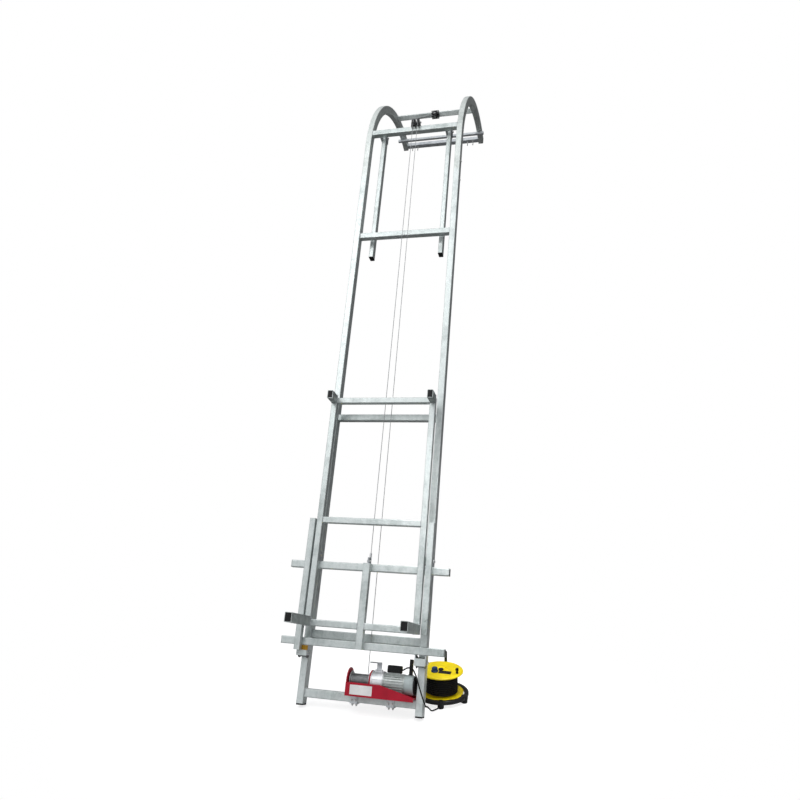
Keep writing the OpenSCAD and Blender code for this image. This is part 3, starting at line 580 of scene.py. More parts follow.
def about(hinge, name):
    """Placement on a hinge's axis, with a node's least and greatest radius and its ends along the axis."""
    way = Vector(joints[hinge]["axis"])
    place = Matrix.Translation(joints[hinge]["pos_m"]) @ way.to_track_quat("Z", "Y").to_matrix().to_4x4()
    spots = np.array(spots_of(name, place))
    radii = np.hypot(spots[:, 0], spots[:, 1])
    return place, radii.min(), radii.max(), spots[:, 2].min(), spots[:, 2].max()


def turned_piece(name, place, profile, finish, carrier, stands_for=(), steps=48, closed=False, turn=as_is):
    """A piece that is one turned form."""
    mesh = bmesh.new()
    turned(mesh, place, profile, steps, closed)
    piece(name, mesh, finish, carrier, stands_for, turn=turn)


def wheel(name, made, place, half, centre, middle, finish):
    """A turned wheel that stands for a CAD node, from the near half of its profile and its centre points."""
    far_half = [(radius, 2 * middle - height) for radius, height in reversed(half)]
    turned_piece(name + made, place, half + centre + far_half, finish, name, [name], 64, closed=True)


def bar_ends(spans, inset):
    """(place, aim) points for nuts on both ends of bars along X, each a little way in from the end."""
    ends = []
    for low, high in spans:
        level = (low + high) / 2
        for at, way in ((low.x + inset, -1), (high.x - inset, 1)):
            ends.append((Vector((at, level.y, level.z)), Vector((way, 0, 0))))
    return ends


eased("block_plates", block_black, plate_ease)
for sheave in ("left_sheave", "right_sheave", "return_sheave"):
    place, bore, rim, near, far = about(sheave + "_spin", sheave)
    middle = (near + far) / 2
    root = rim - groove_deep
    hub = bore + sheave_hub
    web = near + sheave_web_in
    half = [(bore, near), (hub, near), (hub + web_draft, web), (root - rim_w, web), (root - rim_w / 2, near),
            (rim - sheave_ease, near), (rim, near + sheave_ease), (rim, middle - groove_half - groove_lip),
            (root, middle - groove_half)]
    wheel(sheave, "_turned", place, half, [(root - sheave_ease, middle)], middle, sheave_black)
eased("sheave_axles", axle_zinc, axle_ease)
front_axle = min(solids_of("sheave_axles"), key=lambda found: found[0].z)
bolts("axle_nuts", bar_ends([front_axle], axle_past), "sheave_axles", size=1.25)
rear_place, _, _, near, far = about("return_sheave_spin", "return_sheave")
rear_at = rear_place.translation
rear_way = rear_place.to_3x3() @ Vector((0, 0, 1))
rear_cheek = (far - near) / 2 + cheek_gap + cheek_t
bolts("rear_axle_nuts", [(rear_at + rear_way * side * rear_cheek, rear_way * side) for side in (-1, 1)],
      "sheave_axles", as_is, size=1.25)
rear_pull = rear_way.cross(Vector((1, 0, 0)))
rear_pull *= math.copysign(1, rear_pull.y)
near_rear = [spot - rear_at for spot in spots_of("block_plates", as_is)]
near_rear = [spot for spot in near_rear if spot.length < rear_reach]
base_face = max(spot.dot(rear_pull) for spot in near_rear) - cheek_t
base_half = max(abs(spot.dot(rear_way)) for spot in near_rear) - base_bolt_in
base_bolts = [(rear_at + rear_pull * base_face + rear_way * up + Vector((x, 0, 0)), -rear_pull)
              for up in (-base_half, base_half) for x in (-base_bolt_x, base_bolt_x)]
bolts("rear_base_bolts", base_bolts, "block_plates", as_is, size=0.8)

# Folding legs: two galvanised box tubes that hang behind the head bar on pins between bracket ears.
# They swing back to stand the head off a wall, so each rides on its own hinge.
pin_past = 4 * MM
leg_zinc = galvanised("leg_zinc", (0.72, 0.77, 0.76), (0.52, 0.57, 0.56), 0.39)
bracket_zinc = galvanised("bracket_zinc", (0.52, 0.54, 0.56), (0.34, 0.36, 0.38), 0.42)
eased("leg_brackets", bracket_zinc, plate_ease)
eased("leg_pins", axle_zinc, plate_ease)
for leg in ("left_leg", "right_leg"):
    tubes(leg, 2, leg_zinc)
bolts("leg_pin_nuts", bar_ends(solids_of("leg_pins"), pin_past), "leg_pins", size=1.1)

# Carriage: a ladder of box tubes in front of the rails, with two fork arms below and two short arms above.
# Its pieces are cut square and welded, with a bead round the bars' and arms' ends. The arms' open ends
# have black plugs, set a little back in the tube.
plug_back = 0.8 * MM
plug_ease = 1.2 * MM
carriage_zinc = galvanised("carriage_zinc", (0.68, 0.73, 0.72), (0.49, 0.54, 0.53), 0.37)
fork_zinc = galvanised("fork_zinc", (0.52, 0.56, 0.55), (0.33, 0.37, 0.36), 0.40)


def block(mesh, low, high, turn=as_is):
    """Adds a plain box between two corners, turned in place if asked."""
    for vert in bmesh.ops.create_cube(mesh, size=1)["verts"]:
        vert.co = turn @ Vector([low[k] + (vert.co[k] + 0.5) * (high[k] - low[k]) for k in range(3)])


ladder = {"cross_tubes": 0, "outer_guides": 2, "uprights": 2, "frame_bars": 0, "centre_post": 2}
for tube, axis in ladder.items():
    tubes(tube, axis, carriage_zinc)
for tube in ("fork_arms", "top_arms"):
    tubes(tube, 1, fork_zinc)
plugs, sleeves = bmesh.new(), bmesh.new()
for low, high in solids_of("arm_caps"):
    size = high - low
    along_cap = min(range(3), key=lambda k: size[k])
    inset = Vector([plug_back if k == along_cap else tube_wall for k in range(3)])
    box_tube(sleeves, low, high, along_cap)
    block(plugs, low + inset, high - inset)
piece("arm_plugs", plugs, cap_plastic, "arm_caps", ["arm_caps"], plug_ease)
piece("arm_sleeves", sleeves, fork_zinc, "arm_caps")
joined = [(span, 0, at) for span in solids_of("frame_bars") for at in (span[0].x, span[1].x)]
joined += [(span, 1, span[1].y) for name in ("fork_arms", "top_arms") for span in solids_of(name)]
welded("carriage_welds", "frame_bars", joined)

# Rope anchor: a steel lug on the upper cross tube, with a bolt through it and the rope's pressed ferrule.
# The lifting fall ends here, so it rides with the carriage.
anchor_eye_y = 16 * MM
anchor_eye_z = 18 * MM
eye_sunk = 1 * MM
ferrule_drop = 26 * MM
ferrule_mm = [(0, 0), (5.4, 0), (6.2, 1.5), (6.2, 9), (5.6, 10), (6.2, 11), (6.2, 22), (5, 25), (0, 25)]
eased("rope_anchor", bracket_zinc, axle_ease)
lug_low, lug_high = solids_of("rope_anchor")[0]
eye_low = Vector((lug_low.x, lug_low.y + anchor_eye_y, lug_low.z + anchor_eye_z))
eye_high = Vector((lug_high.x, eye_low.y, eye_low.z))
bolts("anchor_bolt", bar_ends([(eye_low, eye_high)], eye_sunk), "rope_anchor")
fall_low, fall_high = solids_of("lift_rope")[0]
fall = (fall_low + fall_high) / 2
ferrule_place = Matrix.Translation((fall.x, fall.y, fall_low.z - ferrule_drop)) @ Matrix.Scale(MM, 4)
turned_piece("anchor_ferrule", ferrule_place, ferrule_mm, axle_zinc, "rope_anchor", steps=24, turn=leaning)

# Rollers: dark plastic wheels with flanges, which run on the rail fronts between pairs of plates.
# A flat guard stands in front of each, and an ochre catch with a pull ring sits below the left cross tube.
roller_gap = 0.3 * MM
roller_flange = 4 * MM
roller_hub = 4 * MM
roller_rim = 5 * MM
roller_dish = 1 * MM
roller_ease = 1.2 * MM
guard_out = 29 * MM
guard_h = 38 * MM
guard_sheet = 3 * MM
guard_in = 6 * MM
catch_at = Vector((-22.8, -0.6, -25.6)) * MM
catch_size = Vector((56.2, 6.2, 25.2)) * MM
soft_edge = 1 * MM
pull_at = Vector((-18, 4, -33.6)) * MM
pull_r = 10 * MM
pull_wire_r = 1.4 * MM
pull_tilt = math.radians(70)
pull_sides = 8
roller_grey = moulded("roller_grey", (0.20, 0.21, 0.21), 0.45, 260, 0.4 * MM)
catch_ochre = moulded("catch_ochre", (0.42, 0.22, 0.012), 0.42, 400, 0.3 * MM)


def hinge_at(name):
    """Place of a joint, in the upright frame of the rails."""
    return upright @ Vector(joints[name]["pos_m"])


def blocks(name, boxes, finish, carrier, ease, turn=leaning):
    """A piece that is one or more plain boxes with eased edges, each given by two corners."""
    mesh = bmesh.new()
    for low, high in boxes:
        block(mesh, low, high)
    piece(name, mesh, finish, carrier, ease=ease, turn=turn)


eased("roller_plates", bar_zinc, axle_ease)
eased("roller_axles", axle_zinc, sheave_ease)
for roller in ("left_upper_roller", "right_upper_roller", "left_lower_roller", "right_lower_roller"):
    place, bore, rim, near, far = about(roller + "_spin", roller)
    tread = rail_low.y - hinge_at(roller + "_spin").y - roller_gap
    hub = bore + roller_hub
    dish = rim - roller_rim
    half = [(bore, near), (hub, near), (hub + roller_dish, near + roller_dish),
            (dish - roller_dish, near + roller_dish), (dish, near), (rim - roller_ease, near),
            (rim, near + roller_ease), (rim, near + roller_flange - roller_dish),
            (rim - roller_dish, near + roller_flange), (tread, near + roller_flange)]
    wheel(roller, "_cast", place, half, [], (near + far) / 2, roller_grey)
roller_axles = solids_of("roller_axles")
bolts("roller_nuts", bar_ends(roller_axles, pin_past), "roller_axles", size=1.2)
guard_y = min(low.y for low, high in roller_axles) - guard_out
guards = [((low.x + guard_in, guard_y - guard_sheet, (low.z + high.z - guard_h) / 2),
           (high.x - guard_in, guard_y, (low.z + high.z + guard_h) / 2)) for low, high in roller_axles]
blocks("roller_guards", guards, carriage_zinc, "roller_plates", soft_edge)
cross_low = solids_of("cross_tubes")[0][0]
cross_front = Vector((-rail_mid, cross_low.y, cross_low.z))
catch_low = cross_front + catch_at
blocks("catch_plate", [(catch_low, catch_low + catch_size)], catch_ochre, "roller_plates", plug_ease)
pull_place = Matrix.Translation(cross_front + pull_at) @ Matrix.Rotation(pull_tilt, 4, "X")
pull_angles = [math.tau * k / pull_sides for k in range(pull_sides)]
pull_wire = [(pull_r + pull_wire_r * math.cos(angle), pull_wire_r * math.sin(angle)) for angle in pull_angles]
turned_piece("catch_ring", pull_place, pull_wire, axle_zinc, "roller_plates", steps=32, closed=True,
             turn=leaning)

# Winch frame: bent sheet steel in red powder coat, saddled on the lowest beam.
# The front skirt keeps a bare white plate where such winches carry their label.
saddle_ease = 1.2 * MM
label_at = Vector((26, -0.8, 9)) * MM
label_size = Vector((122, 0.8, 48)) * MM
label_ease = 0.3 * MM
saddle_bolt_in = 10 * MM
saddle_bolt_low = 8 * MM
saddle_tail = 5 * MM
bearing_bolt_r = 26 * MM
bearing_bolt_deg = (40, 140, 220, 320)
winch_red = moulded("winch_red", (0.42, 0.003, 0.022), 0.46, 420, 0.4 * MM, 0.04)
label_white = moulded("label_white", (0.80, 0.80, 0.79), 0.42)
for sheet in ("winch_bed", "winch_plates", "winch_skirts"):
    eased(sheet, winch_red, soft_edge)
eased("beam_saddles", bar_zinc, saddle_ease)
skirt_low = min(solids_of("winch_skirts"), key=lambda found: found[0].y)[0]
label_low = skirt_low + label_at
blocks("blank_label", [(label_low, label_low + label_size)], label_white, "winch_skirts", label_ease)
saddle_bolts = []
for low, high in solids_of("beam_saddles"):
    middle = (low + high) / 2
    for x in (low.x + saddle_bolt_in, high.x - saddle_bolt_in):
        saddle_bolts.append((Vector((x, low.y, middle.z - saddle_bolt_low)), Vector((0, -1, 0))))
        saddle_bolts.append((Vector((x, middle.y, low.z)), Vector((0, 0, -1))))
bolts("saddle_bolts", saddle_bolts, "beam_saddles", tail=saddle_tail)
drum_axis = hinge_at("drum_spin")
plate_x = solids_of("winch_plates")[0][0].x


def from_drum(x, angle, radius):
    """Point at a distance from the drum's axis, at an angle round it, and the way out to that point."""
    out = Vector((0, math.cos(angle), math.sin(angle)))
    return Vector((x, drum_axis.y, drum_axis.z)) + out * radius, out


bearing_bolts = [(from_drum(plate_x, math.radians(angle), bearing_bolt_r)[0], Vector((-1, 0, 0)))
                 for angle in bearing_bolt_deg]
bolts("bearing_bolts", bearing_bolts, "winch_plates", size=0.9)

# Drum: a turned steel drum with two flanges on a shaft through the frame plates.
# Its shaft also carries the gear wheel, which is out of sight in the gear case.
drum_grey = galvanised("drum_grey", (0.50, 0.51, 0.52), (0.36, 0.37, 0.38), 0.40)
eased("drum", drum_grey, axle_ease)

# Motor and gears: a cast alloy gear case with ribs between two flanges, and a motor with fins along it.
# Geometry nodes set the fins round the motor and the bolts and ribs round the case.
case_ease = 1.6 * MM
flange_in = 2 * MM
flange_w = 7 * MM
flange_out = 3 * MM
case_spokes = 12
rib_w = 4 * MM
rib_sunk = 1 * MM
rib_top_share = 0.9
band_w = 6 * MM
band_in = 2 * MM
pad_in = 16 * MM
pad_len = 70 * MM
pad_w = 28 * MM
pad_sunk = 12 * MM
fin_count = 24
fin_h = 5 * MM
fin_w = 3.4 * MM
fin_sunk = 1 * MM
fin_in = 4 * MM
case_alloy = galvanised("case_alloy", (0.80, 0.81, 0.82), (0.66, 0.67, 0.69), 0.34)
motor_grey = galvanised("motor_grey", (0.52, 0.55, 0.54), (0.38, 0.41, 0.40), 0.42)
eased("gear_case", case_alloy, case_ease)
case_low, case_high = solids_of("gear_case")[0]
case_r = drum_axis.z - case_low.z
flange_r = case_r + flange_out
along_x = Matrix(((0, 0, 1, 0), (1, 0, 0, 0), (0, 1, 0, 0), (0, 0, 0, 1)))
axis_place = Matrix.Translation((0, drum_axis.y, drum_axis.z)) @ along_x
mesh = bmesh.new()
for at in (case_low.x + flange_in, case_high.x - flange_in - flange_w):
    end = at + flange_w
    turned(mesh, axis_place, [(case_r - flange_out, at), (flange_r - soft_edge, at),
                              (flange_r, at + soft_edge), (flange_r, end - soft_edge),
                              (flange_r - soft_edge, end), (case_r - flange_out, end)], 72, closed=True)
piece("case_flanges", mesh, case_alloy, "gear_case")


def fins(name, places, length, width, height, finish, carrier):
    """Fins that stand out along their aim and run along X from their places."""
    mesh = bmesh.new()
    block(mesh, (0, -width / 2, 0), (length, width / 2, height))
    bmesh.ops.bevel(mesh, geom=mesh.edges, offset=width / 4, segments=2, profile=0.5, affect="EDGES")
    set_out(name, mesh, places, finish, carrier)


rib_x = case_low.x + flange_in + flange_w
spoke_angles = [math.tau * (k + 0.5) / case_spokes for k in range(case_spokes)]
case_bolts = [(from_drum(case_high.x - flange_in, angle, case_r - flange_out)[0], Vector((1, 0, 0)))
              for angle in spoke_angles[::2]]
bolts("case_bolts", case_bolts, "gear_case", size=0.8)
ribs = [from_drum(rib_x, angle, case_r - rib_sunk) for angle in spoke_angles
        if math.sin(angle) < rib_top_share]
rib_len = case_high.x - case_low.x - 2 * (flange_in + flange_w)
fins("case_ribs", ribs, rib_len, rib_w, rib_w, case_alloy, "gear_case")
shell_low, shell_high = solids_of("motor_shell")[0]
shell_r = drum_axis.z - shell_low.z
band_r = shell_r - band_in
fin_root = shell_r - fin_h
start, end = shell_low.x, shell_high.x
mesh = bmesh.new()
turned(mesh, axis_place, [(0, start), (band_r - soft_edge, start), (band_r, start + soft_edge),
                          (band_r, start + band_w), (fin_root, start + band_w + soft_edge),
                          (fin_root, end - band_w - soft_edge), (band_r, end - band_w), (band_r, end),
                          (0, end)], 72)
pad = Vector((shell_low.x + pad_in, drum_axis.y - pad_w / 2, drum_axis.z + shell_r - pad_sunk))
block(mesh, pad, (pad.x + pad_len, pad.y + pad_w, shell_high.z))
piece("motor_body", mesh, motor_grey, "motor_shell", ["motor_shell"])
fin_places = [from_drum(shell_low.x + fin_in, math.tau * k / fin_count, fin_root - fin_sunk)
              for k in range(fin_count)]
fin_len = shell_high.x - shell_low.x - 2 * fin_in
fins("motor_fins", fin_places, fin_len, fin_w, fin_h + fin_sunk, motor_grey, "motor_shell")

# Fan cover: a rounded sheet steel drum with a black moulded guard at its end.
# A black moulded post stands on top of the cover and keeps the leads up.
cover_gap = 1 * MM
shoulder_mm = [(0, 10), (1.6, 4), (5, 0.8), (8, 0)]
guard_t = 6 * MM
guard_ring_w = 6 * MM
guard_less = 4 * MM
guard_shares = (0.66, 0.40)
guard_hub_r = 9 * MM
guard_spokes = 6
guard_spoke_w = 4 * MM
guard_spoke_from = 6 * MM
guard_spoke_less = 8 * MM
post_back = 34 * MM
post_w = 18 * MM
collar_w = 3 * MM
collar_sunk = 4 * MM
post_ease = 2 * MM
cover_grey = moulded("cover_grey", (0.44, 0.50, 0.50), 0.38, 500, 0.3 * MM, 0.1)
cover_low, cover_high = solids_of("motor_cover")[0]
cover_r = drum_axis.z - cover_low.z
cover_start = cover_low.x + cover_gap
cover_end = cover_high.x - guard_t
cover_profile = [(0, cover_start), (cover_r - soft_edge, cover_start), (cover_r, cover_start + soft_edge)]
cover_profile += [(cover_r - inset * MM, cover_end - back * MM) for inset, back in shoulder_mm]
turned_piece("fan_cover", axis_place, cover_profile + [(0, cover_end)], cover_grey, "motor_cover",
             ["motor_cover"], 72, turn=leaning)
start, end = cover_end - soft_edge, cover_high.x - soft_edge
mesh = bmesh.new()
for ring in [cover_r - guard_less] + [cover_r * share for share in guard_shares]:
    inside = ring - guard_ring_w
    turned(mesh, axis_place, [(ring, start), (ring, end), (ring - soft_edge, cover_high.x),
                              (inside + soft_edge, cover_high.x), (inside, end), (inside, start)],
           64, closed=True)
turned(mesh, axis_place, [(0, start), (guard_hub_r, start), (guard_hub_r, end), (0, end)], 32)
for k in range(guard_spokes):
    turn = Matrix.Rotation(math.tau * k / guard_spokes, 4, "X")
    spoke = Matrix.Translation((cover_end, drum_axis.y, drum_axis.z)) @ turn
    block(mesh, (-soft_edge, -guard_spoke_w / 2, guard_spoke_from),
          (guard_t - 2 * soft_edge, guard_spoke_w / 2, cover_r - guard_spoke_less), spoke)
piece("fan_guard", mesh, cap_plastic, "motor_cover")
post_low = Vector((cover_end - post_back, drum_axis.y - post_w / 2, drum_axis.z + cover_r + cover_gap))
post_high = Vector((post_low.x + post_w, post_low.y + post_w, cover_high.z))
collar_low = (post_low.x - collar_w, post_low.y - collar_w, drum_axis.z + cover_r - collar_sunk)
collar_high = (post_high.x + collar_w, post_high.y + collar_w, drum_axis.z + cover_r + collar_w)
post_boxes = [(post_low, post_high), (collar_low, collar_high)]
blocks("cable_post", post_boxes, cap_plastic, "motor_cover", post_ease)

# Capacitor box and limit lever: a ribbed black box on the motor, and the lever that the rope stop lifts.
# The box is moulded in one with its ribs, and the lever is cut from plate.
box_ease = 3 * MM
box_ribs = 9
box_rib_w = 3 * MM
box_rib_out = 1.2 * MM
box_rib_up = 5 * MM
box_rib_ease = 0.8 * MM
lever_ease = 0.7 * MM
eased("capacitor_box", cap_plastic, box_ease)
box_low, box_high = solids_of("capacitor_box")[0]
rib_boxes = []
for k in range(box_ribs):
    at = box_low.x + (k + 1) * (box_high.x - box_low.x) / (box_ribs + 1)
    rib_boxes.append(((at - box_rib_w / 2, box_low.y - box_rib_out, box_low.z + box_rib_up),
                      (at + box_rib_w / 2, box_high.y + box_rib_out, box_high.z + box_rib_out)))
blocks("capacitor_ribs", rib_boxes, cap_plastic, "capacitor_box", box_rib_ease)
eased("limit_lever", bracket_zinc, lever_ease)

# Wire rope: six strands laid round a core, from the drum over the head blocks and down to the carriage.
# Geometry nodes resample the line, turn its section with the length and sweep a six lobed outline along it.
# The lifting fall is a piece of its own, with its own copy of the mesh.
strand_share = 0.80
strands = 6
rope_lay = 26 * MM
rope_step = 3.6 * MM
drum_turns = 20
coil_steps = 48
sheave_steps = 10
return_steps = 24
rope_steel = galvanised("rope_steel", (0.44, 0.45, 0.46), (0.28, 0.29, 0.30), 0.40)
rope_tree, given = new_tree("laid_rope", Radius="Float", Groove="Float", Lobes="Int", Lay="Float",
                            Step="Float", Finish="Material")
run = node(rope_tree, "GeometryNodeSplineParameter").outputs["Length"]
twist = reckoned(rope_tree, "MULTIPLY", reckoned(rope_tree, "DIVIDE", run, given["Lay"]), math.tau)
laid = node(rope_tree, "GeometryNodeSetCurveTilt", {"Curve": stepped_line(rope_tree, given), "Tilt": twist})
dip = reckoned(rope_tree, "MULTIPLY", given["Radius"], given["Groove"])
section = node(rope_tree, "GeometryNodeCurveStar", {"Points": given["Lobes"], "Outer Radius": given["Radius"],
                                                    "Inner Radius": dip})
swept = node(rope_tree, "GeometryNodeCurveToMesh",
             {"Curve": laid.outputs["Curve"], "Profile Curve": section.outputs["Curve"], "Fill Caps": True})
smooth = node(rope_tree, "GeometryNodeSetShadeSmooth", {"Geometry": swept.outputs["Mesh"]})
end_tree(rope_tree, smooth.outputs["Geometry"], given)


def rope(path, radius, finish, carrier, made="_laid", turn=leaning, groove=strand_share, lobes=strands,
         step=rope_step, stands_for=True):
    """Rope, or with a groove share of 1 a plain round cable, along the points of a CAD node's line."""
    name = carrier + made
    data = bpy.data.meshes.new(name)
    data.from_pydata(path, [(k, k + 1) for k in range(len(path) - 1)], [])
    result = grow(name, data, rope_tree, turn, Radius=radius, Groove=groove, Lobes=lobes, Lay=rope_lay,
                  Step=step, Finish=finish)
    return fixed(name, result, None, carrier, [carrier] if stands_for else [])


def winding(place, radius, first, last, turns, start, sense):
    """Points of a coil about a placement's local Z, between two heights."""
    path = []
    for k in range(turns * coil_steps + 1):
        angle = start + sense * math.tau * k / coil_steps
        height = first + (last - first) * k / (turns * coil_steps)
        path.append(place @ Vector((radius * math.cos(angle), radius * math.sin(angle), height)))
    return path


rope_r = (fall_high.x - fall_low.x) / 2
sheave_at = hinge_at("left_sheave_spin")
return_at = hinge_at("return_sheave_spin")
pitch_r = sheave_at.y - fall.y
winch_fall_x = hinge_at("right_sheave_spin").x
return_r = (winch_fall_x - fall.x) / 2
return_way = upright @ rear_way
run_angle = math.atan2(-return_way.z, return_way.y)
pull_way = Vector((0, math.sin(run_angle), math.cos(run_angle)))
low_end = min(spot.z for spot in spots_of("wire_rope"))
drum_fall_x = solids_of("wire_rope")[0][1].x - rope_r


def over(x, share):
    """Point on a front sheave, from where the fall meets it to where the rope leaves for the rear block."""
    angle = run_angle * share
    return Vector((x, sheave_at.y - pitch_r * math.cos(angle), sheave_at.z + pitch_r * math.sin(angle)))


path = [Vector((drum_fall_x, fall.y, low_end))]
path += [over(winch_fall_x, k / sheave_steps) for k in range(sheave_steps + 1)]
for k in range(return_steps + 1):
    angle = math.pi * k / return_steps
    across = Vector((return_r * math.cos(angle), 0, 0))
    path.append(return_at + across + pull_way * return_r * math.sin(angle))
path += [over(fall.x, k / sheave_steps) for k in range(sheave_steps, -1, -1)]
path.append(Vector((fall.x, fall.y, fall_high.z)))
rope(path, rope_r, rope_steel, "wire_rope")
fall_ends = [Vector((fall.x, fall.y, z)) for z in (fall_low.z, fall_high.z)]
lifting = rope(fall_ends, rope_r, rope_steel, "lift_rope")
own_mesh(lifting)
wound_low, wound_high = solids_of("drum_winding")[0]
wound_r = (wound_high.z - wound_low.z) / 2 - rope_r
coil = winding(axis_place, wound_r, wound_low.x + rope_r, wound_high.x - rope_r, drum_turns, -math.pi / 2, 1)
rope(coil, rope_r, rope_steel, "drum_winding")

# Cable reel: two yellow moulded discs on a core wound with two layers of black cable.
# The upper disc carries a blue socket, a black slot plate and the winding knob.
disc_t = 5 * MM
disc_ease = 2 * MM
lip_h = 3 * MM
lip_w = 5 * MM
bead_in = 14 * MM
dish_r = 40 * MM
dish_up = 4 * MM
cable_d = 10 * MM
cable_gap = 0.6 * MM
coil_gap = 0.7 * MM
winding_less = 1 * MM
under_share = 0.7
reel_turns = 10
cable_lobes = 8
cable_step = 6 * MM
knob_mm = [(0, 0), (8, 0), (6, 5), (6, 12), (9, 18), (9.4, 24), (8, 28), (4, 30), (0, 30)]
knob_at = (96 * MM, -30 * MM)
socket_mm = [(0, 0), (20, 0), (20, 8), (18, 10), (17, 10), (16, 22), (14, 25), (0, 25)]
socket_at = (-28 * MM, -38 * MM)
slot_low = (-6 * MM, -58 * MM)
slot_high = (64 * MM, -20 * MM)
slot_up = 5 * MM
slot_ease = 2 * MM
disc_sunk = 1 * MM
reel_yellow = moulded("reel_yellow", (0.97, 0.72, 0.006), 0.36, 600, 0.2 * MM, 0.1)
socket_blue = moulded("socket_blue", (0.012, 0.045, 0.16), 0.38)
cable_black = moulded("cable_black", (0.010, 0.010, 0.011), 0.55, 700, 0.3 * MM)


def cable(path, diameter, carrier, made, step, stands_for=True):
    """A plain round cable along the points of a CAD node's line."""
    return rope(path, diameter / 2, cable_black, carrier, made, as_is, 1.0, cable_lobes, step, stands_for)


reel_place, bore, disc_r, _, knob_top = about("reel_spin", "reel_drum")
reel_h = knob_top - knob_mm[-1][1] * MM
wound = np.array(spots_of("reel_winding", reel_place))
layer_r = np.hypot(wound[:, 0], wound[:, 1]).max() - cable_d / 2 - winding_less
under_r = layer_r - under_share * cable_d
core_r = under_r - cable_d / 2 - cable_gap
low_disc, high_disc = disc_t, reel_h - disc_t
turned_piece("reel_discs", reel_place,
             [(bore, 0), (disc_r - disc_ease, 0), (disc_r, disc_ease), (disc_r, low_disc + disc_ease),
              (disc_r - disc_ease, low_disc + lip_h), (disc_r - lip_w, low_disc), (core_r, low_disc),
              (core_r, high_disc), (disc_r - lip_w, high_disc), (disc_r - disc_ease, high_disc - lip_h),
              (disc_r, high_disc - disc_ease), (disc_r, reel_h - lip_h), (disc_r - lip_h, reel_h),
              (disc_r - 2 * lip_w, reel_h + disc_ease), (disc_r - bead_in, reel_h + disc_sunk),
              (core_r, reel_h + lip_h), (dish_r, reel_h + dish_up), (dish_r - lip_h, reel_h), (bore, reel_h)],
             reel_yellow, "reel_drum", ["reel_drum"], 96, closed=True)
knob_place = reel_place @ Matrix.Translation((*knob_at, reel_h)) @ Matrix.Scale(MM, 4)
turned_piece("reel_knob", knob_place, knob_mm, cap_plastic, "reel_drum", steps=32)
slot_box = ((*slot_low, reel_h - disc_sunk), (*slot_high, reel_h + slot_up))
blocks("reel_slot_plate", [slot_box], cap_plastic, "reel_drum", slot_ease, reel_place)
socket_place = reel_place @ Matrix.Translation((*socket_at, reel_h + disc_sunk)) @ Matrix.Scale(MM, 4)
turned_piece("reel_socket", socket_place, socket_mm, socket_blue, "reel_drum", steps=40)
coil_low, coil_high = low_disc + cable_d / 2 + coil_gap, high_disc - cable_d / 2 - coil_gap
half_pitch = (coil_high - coil_low) / reel_turns / 2
coil = winding(reel_place, layer_r, coil_low, coil_high, reel_turns, math.pi, -1)
cable(coil, cable_d, "reel_winding", "_wound", cable_step)
under = winding(reel_place, under_r, coil_low + half_pitch, coil_high - half_pitch, reel_turns - 1,
                math.pi, -1)
cable(under, cable_d, "reel_winding", "_under", cable_step, stands_for=False)

# Reel stand: a ring of black coated tube round the lower disc, on round plastic feet, with flat spokes to
# the hub that the reel turns on and a post behind it. It stays on the ground while the reel turns.
stand_d = 24 * MM
stand_less = 1 * MM
stand_corner = 8 * MM
ring_gap = 18 * MM
ring_z = 18 * MM
foot_r = 19.5 * MM
foot_deg = (-80, -15, 90, 195)
spoke_from = 20 * MM
spoke_w = 22 * MM
spoke_low = 1 * MM
spoke_high = 9.5 * MM
foot_less_mm = [(5, 0.2), (2, 3), (2, 18), (0, 22), (0, 34), (3, 40), (8, 42)]
post_low_mm = [(0, 1), (9, 1), (9, 28), (8, 30)]
post_top_mm = [(8, 8), (6, 3), (0, 0)]
hub_r = 28 * MM
hub_low = 4 * MM
hub_drop = 6 * MM
shaft_gap = 0.2 * MM
nut_mm = [(14, 1), (15, 2), (13, 6), (0, 6)]
stand_black = moulded("stand_black", (0.010, 0.010, 0.011), 0.36, 500, 0.3 * MM, 0.1)
reel_axis = Vector(joints["reel_spin"]["pos_m"])
ground_z = cad_low.z
ring_r = disc_r + ring_gap
stand_place = Matrix.Translation((reel_axis.x, reel_axis.y, ground_z))
foot_profile = [(foot_r - inset * MM, up * MM) for inset, up in foot_less_mm]
foot_profile = [(0, foot_profile[0][1])] + foot_profile + [(0, foot_profile[-1][1])]
mesh = bmesh.new()
outline = rounded(stand_d, stand_d - stand_less, stand_corner, 5)
turned(mesh, stand_place, [(ring_r + x, ring_z + stand_d / 2 + z) for x, z in outline], 96, closed=True)
for angle in foot_deg:
    spoke = stand_place @ Matrix.Rotation(math.radians(angle), 4, "Z")
    block(mesh, (spoke_from, -spoke_w / 2, spoke_low), (ring_r, spoke_w / 2, spoke_high), spoke)
    turned(mesh, spoke @ Matrix.Translation((ring_r, 0, 0)), foot_profile, 40)
post_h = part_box("reel_stand")[1].z - ground_z
post_profile = [(radius * MM, up * MM) for radius, up in post_low_mm]
post_profile += [(radius * MM, post_h - below * MM) for radius, below in post_top_mm]
turned(mesh, stand_place @ Matrix.Translation((0, ring_r, 0)), post_profile, 24)
hub_top = reel_axis.z - hub_drop - ground_z
turned(mesh, stand_place, [(0, hub_low), (hub_r, hub_low), (hub_r, hub_top), (0, hub_top)], 40)
shaft_r = bore - shaft_gap
shaft_profile = [(0, -hub_drop), (shaft_r, -hub_drop), (shaft_r, reel_h + nut_mm[0][1] * MM)]
shaft_profile += [(radius * MM, reel_h + up * MM) for radius, up in nut_mm]
turned(mesh, reel_place, shaft_profile, 40)
piece("reel_stand_tube", mesh, stand_black, "reel_stand", ["reel_stand"], turn=as_is)

